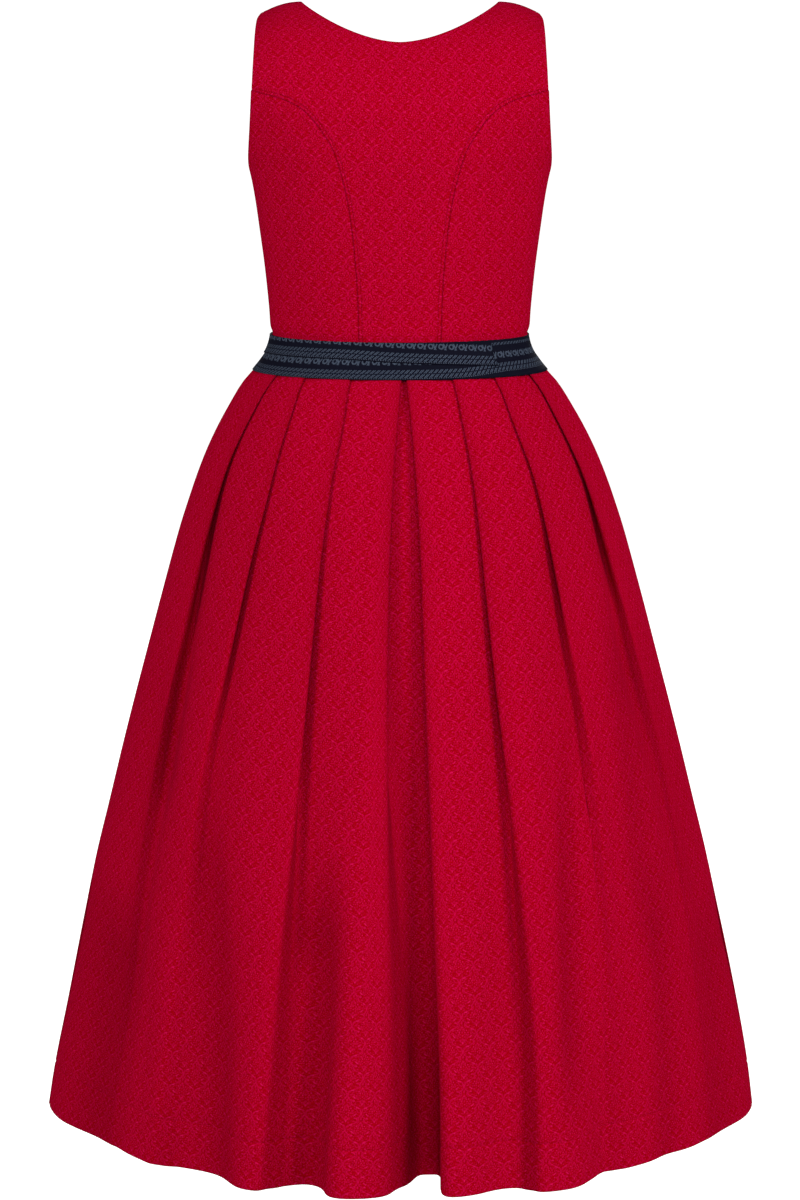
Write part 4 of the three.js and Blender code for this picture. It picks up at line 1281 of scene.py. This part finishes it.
# The scroll: middle and half height of its row, then where ring, leaf and twig stand in each pitch.
SCROLL_ROW = (23.9, 3.7)
SCROLL_PITCH = 11.0
SCROLL_PLACES = (0.35, 0.84, 0.7)
SCROLL_LINE = 2.1
RING_SHARE, LEAF_SLANT, TWIG_SLANT = 0.62, 0.5, 0.35
COMB_PITCH, COMB_SLANT = 1.5, 0.6
# The fine loops along the lower edge. Middle of the row, half height, pitch.
EDGE_LOOPS = (6.95, 0.45, 2.4)
# The woven rows come and go a little: scale and detail of that, and the least that stays.
SPECKLE_SCALE, SPECKLE_DETAIL, SPECKLE_LEAST = 1.6, 2, 0.4
# Shine of the ribbon: specular level, roughness, and how much smoother the woven rows are.
RIBBON_SHINE, RIBBON_ROUGHNESS, ROW_SMOOTHNESS = 0.06, 0.72, 0.12
# Strength and height of its relief.
RIBBON_RELIEF = (0.6, 0.3)


def cone_point(angle, z):
    """Point on the outside of the dress under the belt."""
    half = smooth(WAIST_CONE, z, 1)
    far = smooth(WAIST_CONE, z, 2 if math.cos(angle) > 0 else 3)
    return Vector((half * math.sin(angle), -far * math.cos(angle), z))


places, cloth = [], []
lengths = [0.0] * (RIBBON_COLUMNS + 1)
for row in range(RIBBON_ROWS + 1):
    place_row, heights = [], []
    for column in range(RIBBON_COLUMNS + 1):
        turn = RIBBON_TURNS * (1 - column / RIBBON_COLUMNS)
        angle = math.radians(RIBBON_START) - turn * 2 * math.pi
        top, bottom = smooth(RIBBON_PATH, turn, 2), smooth(RIBBON_PATH, turn, 3)
        z = bottom + (top - bottom) * row / RIBBON_ROWS
        across = cone_point(angle + NORMAL_STEPS[0], z) - cone_point(angle - NORMAL_STEPS[0], z)
        down = cone_point(angle, z - NORMAL_STEPS[1]) - cone_point(angle, z + NORMAL_STEPS[1])
        normal = down.cross(across).normalized()
        place_row.append(cone_point(angle, z) + normal * smooth(RIBBON_PATH, turn, 1))
        rise = (cone_point(angle, top) - cone_point(angle, bottom)).length * row / RIBBON_ROWS
        heights.append(rise + smooth(RIBBON_PATH, turn, 4))
    if row == 0:
        for column in range(1, RIBBON_COLUMNS + 1):
            lengths[column] = lengths[column - 1] + (place_row[column] - place_row[column - 1]).length
    places.append(place_row)
    cloth.append(list(zip(lengths, heights)))
ribbon = lay_grid("ribbon_belt_cloth", places, cloth, None)
thicken(ribbon, RIBBON_SHELL, 0)

navy_ribbon, ribbon_shader, ribbon_map = woven_material("navy_ribbon_weave")
along_ribbon, up_ribbon = ribbon_map.vector("MULTIPLY", (1 / MM,) * 3).parts()


def within_row(above, half):
    """1 within a woven row and 0 outside it."""
    return ((half - abs(above)) * ROW_EDGE).clamped()


def ribbon_rope(middle, half):
    """Strands that slant up to the right within one row: their bodies and their pale outlines."""
    above = up_ribbon - middle
    slant = above * ROPE_SLANT + (above * (math.pi / 2 / half)).by("SINE") * ROPE_CURL
    wave = ((along_ribbon - slant) / ROPE_PITCH * (2 * math.pi)).by("SINE")
    inside = within_row(above, half)
    body = ((wave + 0.25) * 3).clamped()
    outline = (1.3 - abs(wave - 0.3) * 3.4).clamped()
    return body * inside, outline * inside


def ribbon_scroll(middle, half):
    """A running scroll: rings in a row with leaves between them, their bodies and their pale outlines."""
    above = up_ribbon - middle
    phase = (along_ribbon / SCROLL_PITCH).by("FRACT")
    ring, leaf, twig = ((phase - place) * SCROLL_PITCH for place in SCROLL_PLACES)
    square = above * above + ring * ring
    near = abs(square.by("SQRT") - half * RING_SHARE)
    near = near.by("MINIMUM", abs(leaf - above * LEAF_SLANT))
    near = near.by("MINIMUM", abs(twig + above * TWIG_SLANT))
    inside = within_row(above, half)
    body = (SCROLL_LINE - near * SCROLL_LINE).clamped()
    comb = ((along_ribbon + above * COMB_SLANT) * (2 * math.pi / COMB_PITCH)).by("SINE")
    outline = (body * (comb * 0.45 + 0.35)).clamped()
    return body * inside, outline * inside


def ribbon_loops(middle, half, pitch):
    """Small pale loops in a row."""
    wave = (along_ribbon * (2 * math.pi / pitch)).by("SINE")
    return (wave * 1.5).clamped() * within_row(up_ribbon - middle, half)


woven_rows = [ribbon_rope(middle, half) for middle, half in ROPE_ROWS]
woven_rows.append(ribbon_scroll(*SCROLL_ROW))
raised, outlined = woven_rows[0]
for body, outline in woven_rows[1:]:
    raised = raised.by("MAXIMUM", body)
    outlined = outlined.by("MAXIMUM", outline)
outlined = outlined.by("MAXIMUM", ribbon_loops(*EDGE_LOOPS))
speckle = navy_ribbon.node_tree.nodes.new("ShaderNodeTexNoise")
speckle.inputs["Scale"].default_value = SPECKLE_SCALE
speckle.inputs["Detail"].default_value = SPECKLE_DETAIL
ribbon_map.vector("MULTIPLY", (1 / MM,) * 3).to(speckle.inputs["Vector"])
uneven = Reading(navy_ribbon.node_tree, speckle.outputs["Fac"]) + SPECKLE_LEAST
colour = mix_colours((raised * uneven).clamped(), NAVY, SLATE)
colour = mix_colours((outlined * uneven).clamped(), colour, PALE_SLATE)
navy_ribbon.node_tree.links.new(colour, ribbon_shader.inputs["Base Color"])
ribbon_shader.inputs["Specular IOR Level"].default_value = RIBBON_SHINE
(RIBBON_ROUGHNESS - raised * ROW_SMOOTHNESS).to(ribbon_shader.inputs["Roughness"])
add_relief(ribbon_shader, raised + outlined, *RIBBON_RELIEF)
ribbon.data.materials.append(navy_ribbon)
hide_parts("ribbon_belt")
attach(ribbon, "root")
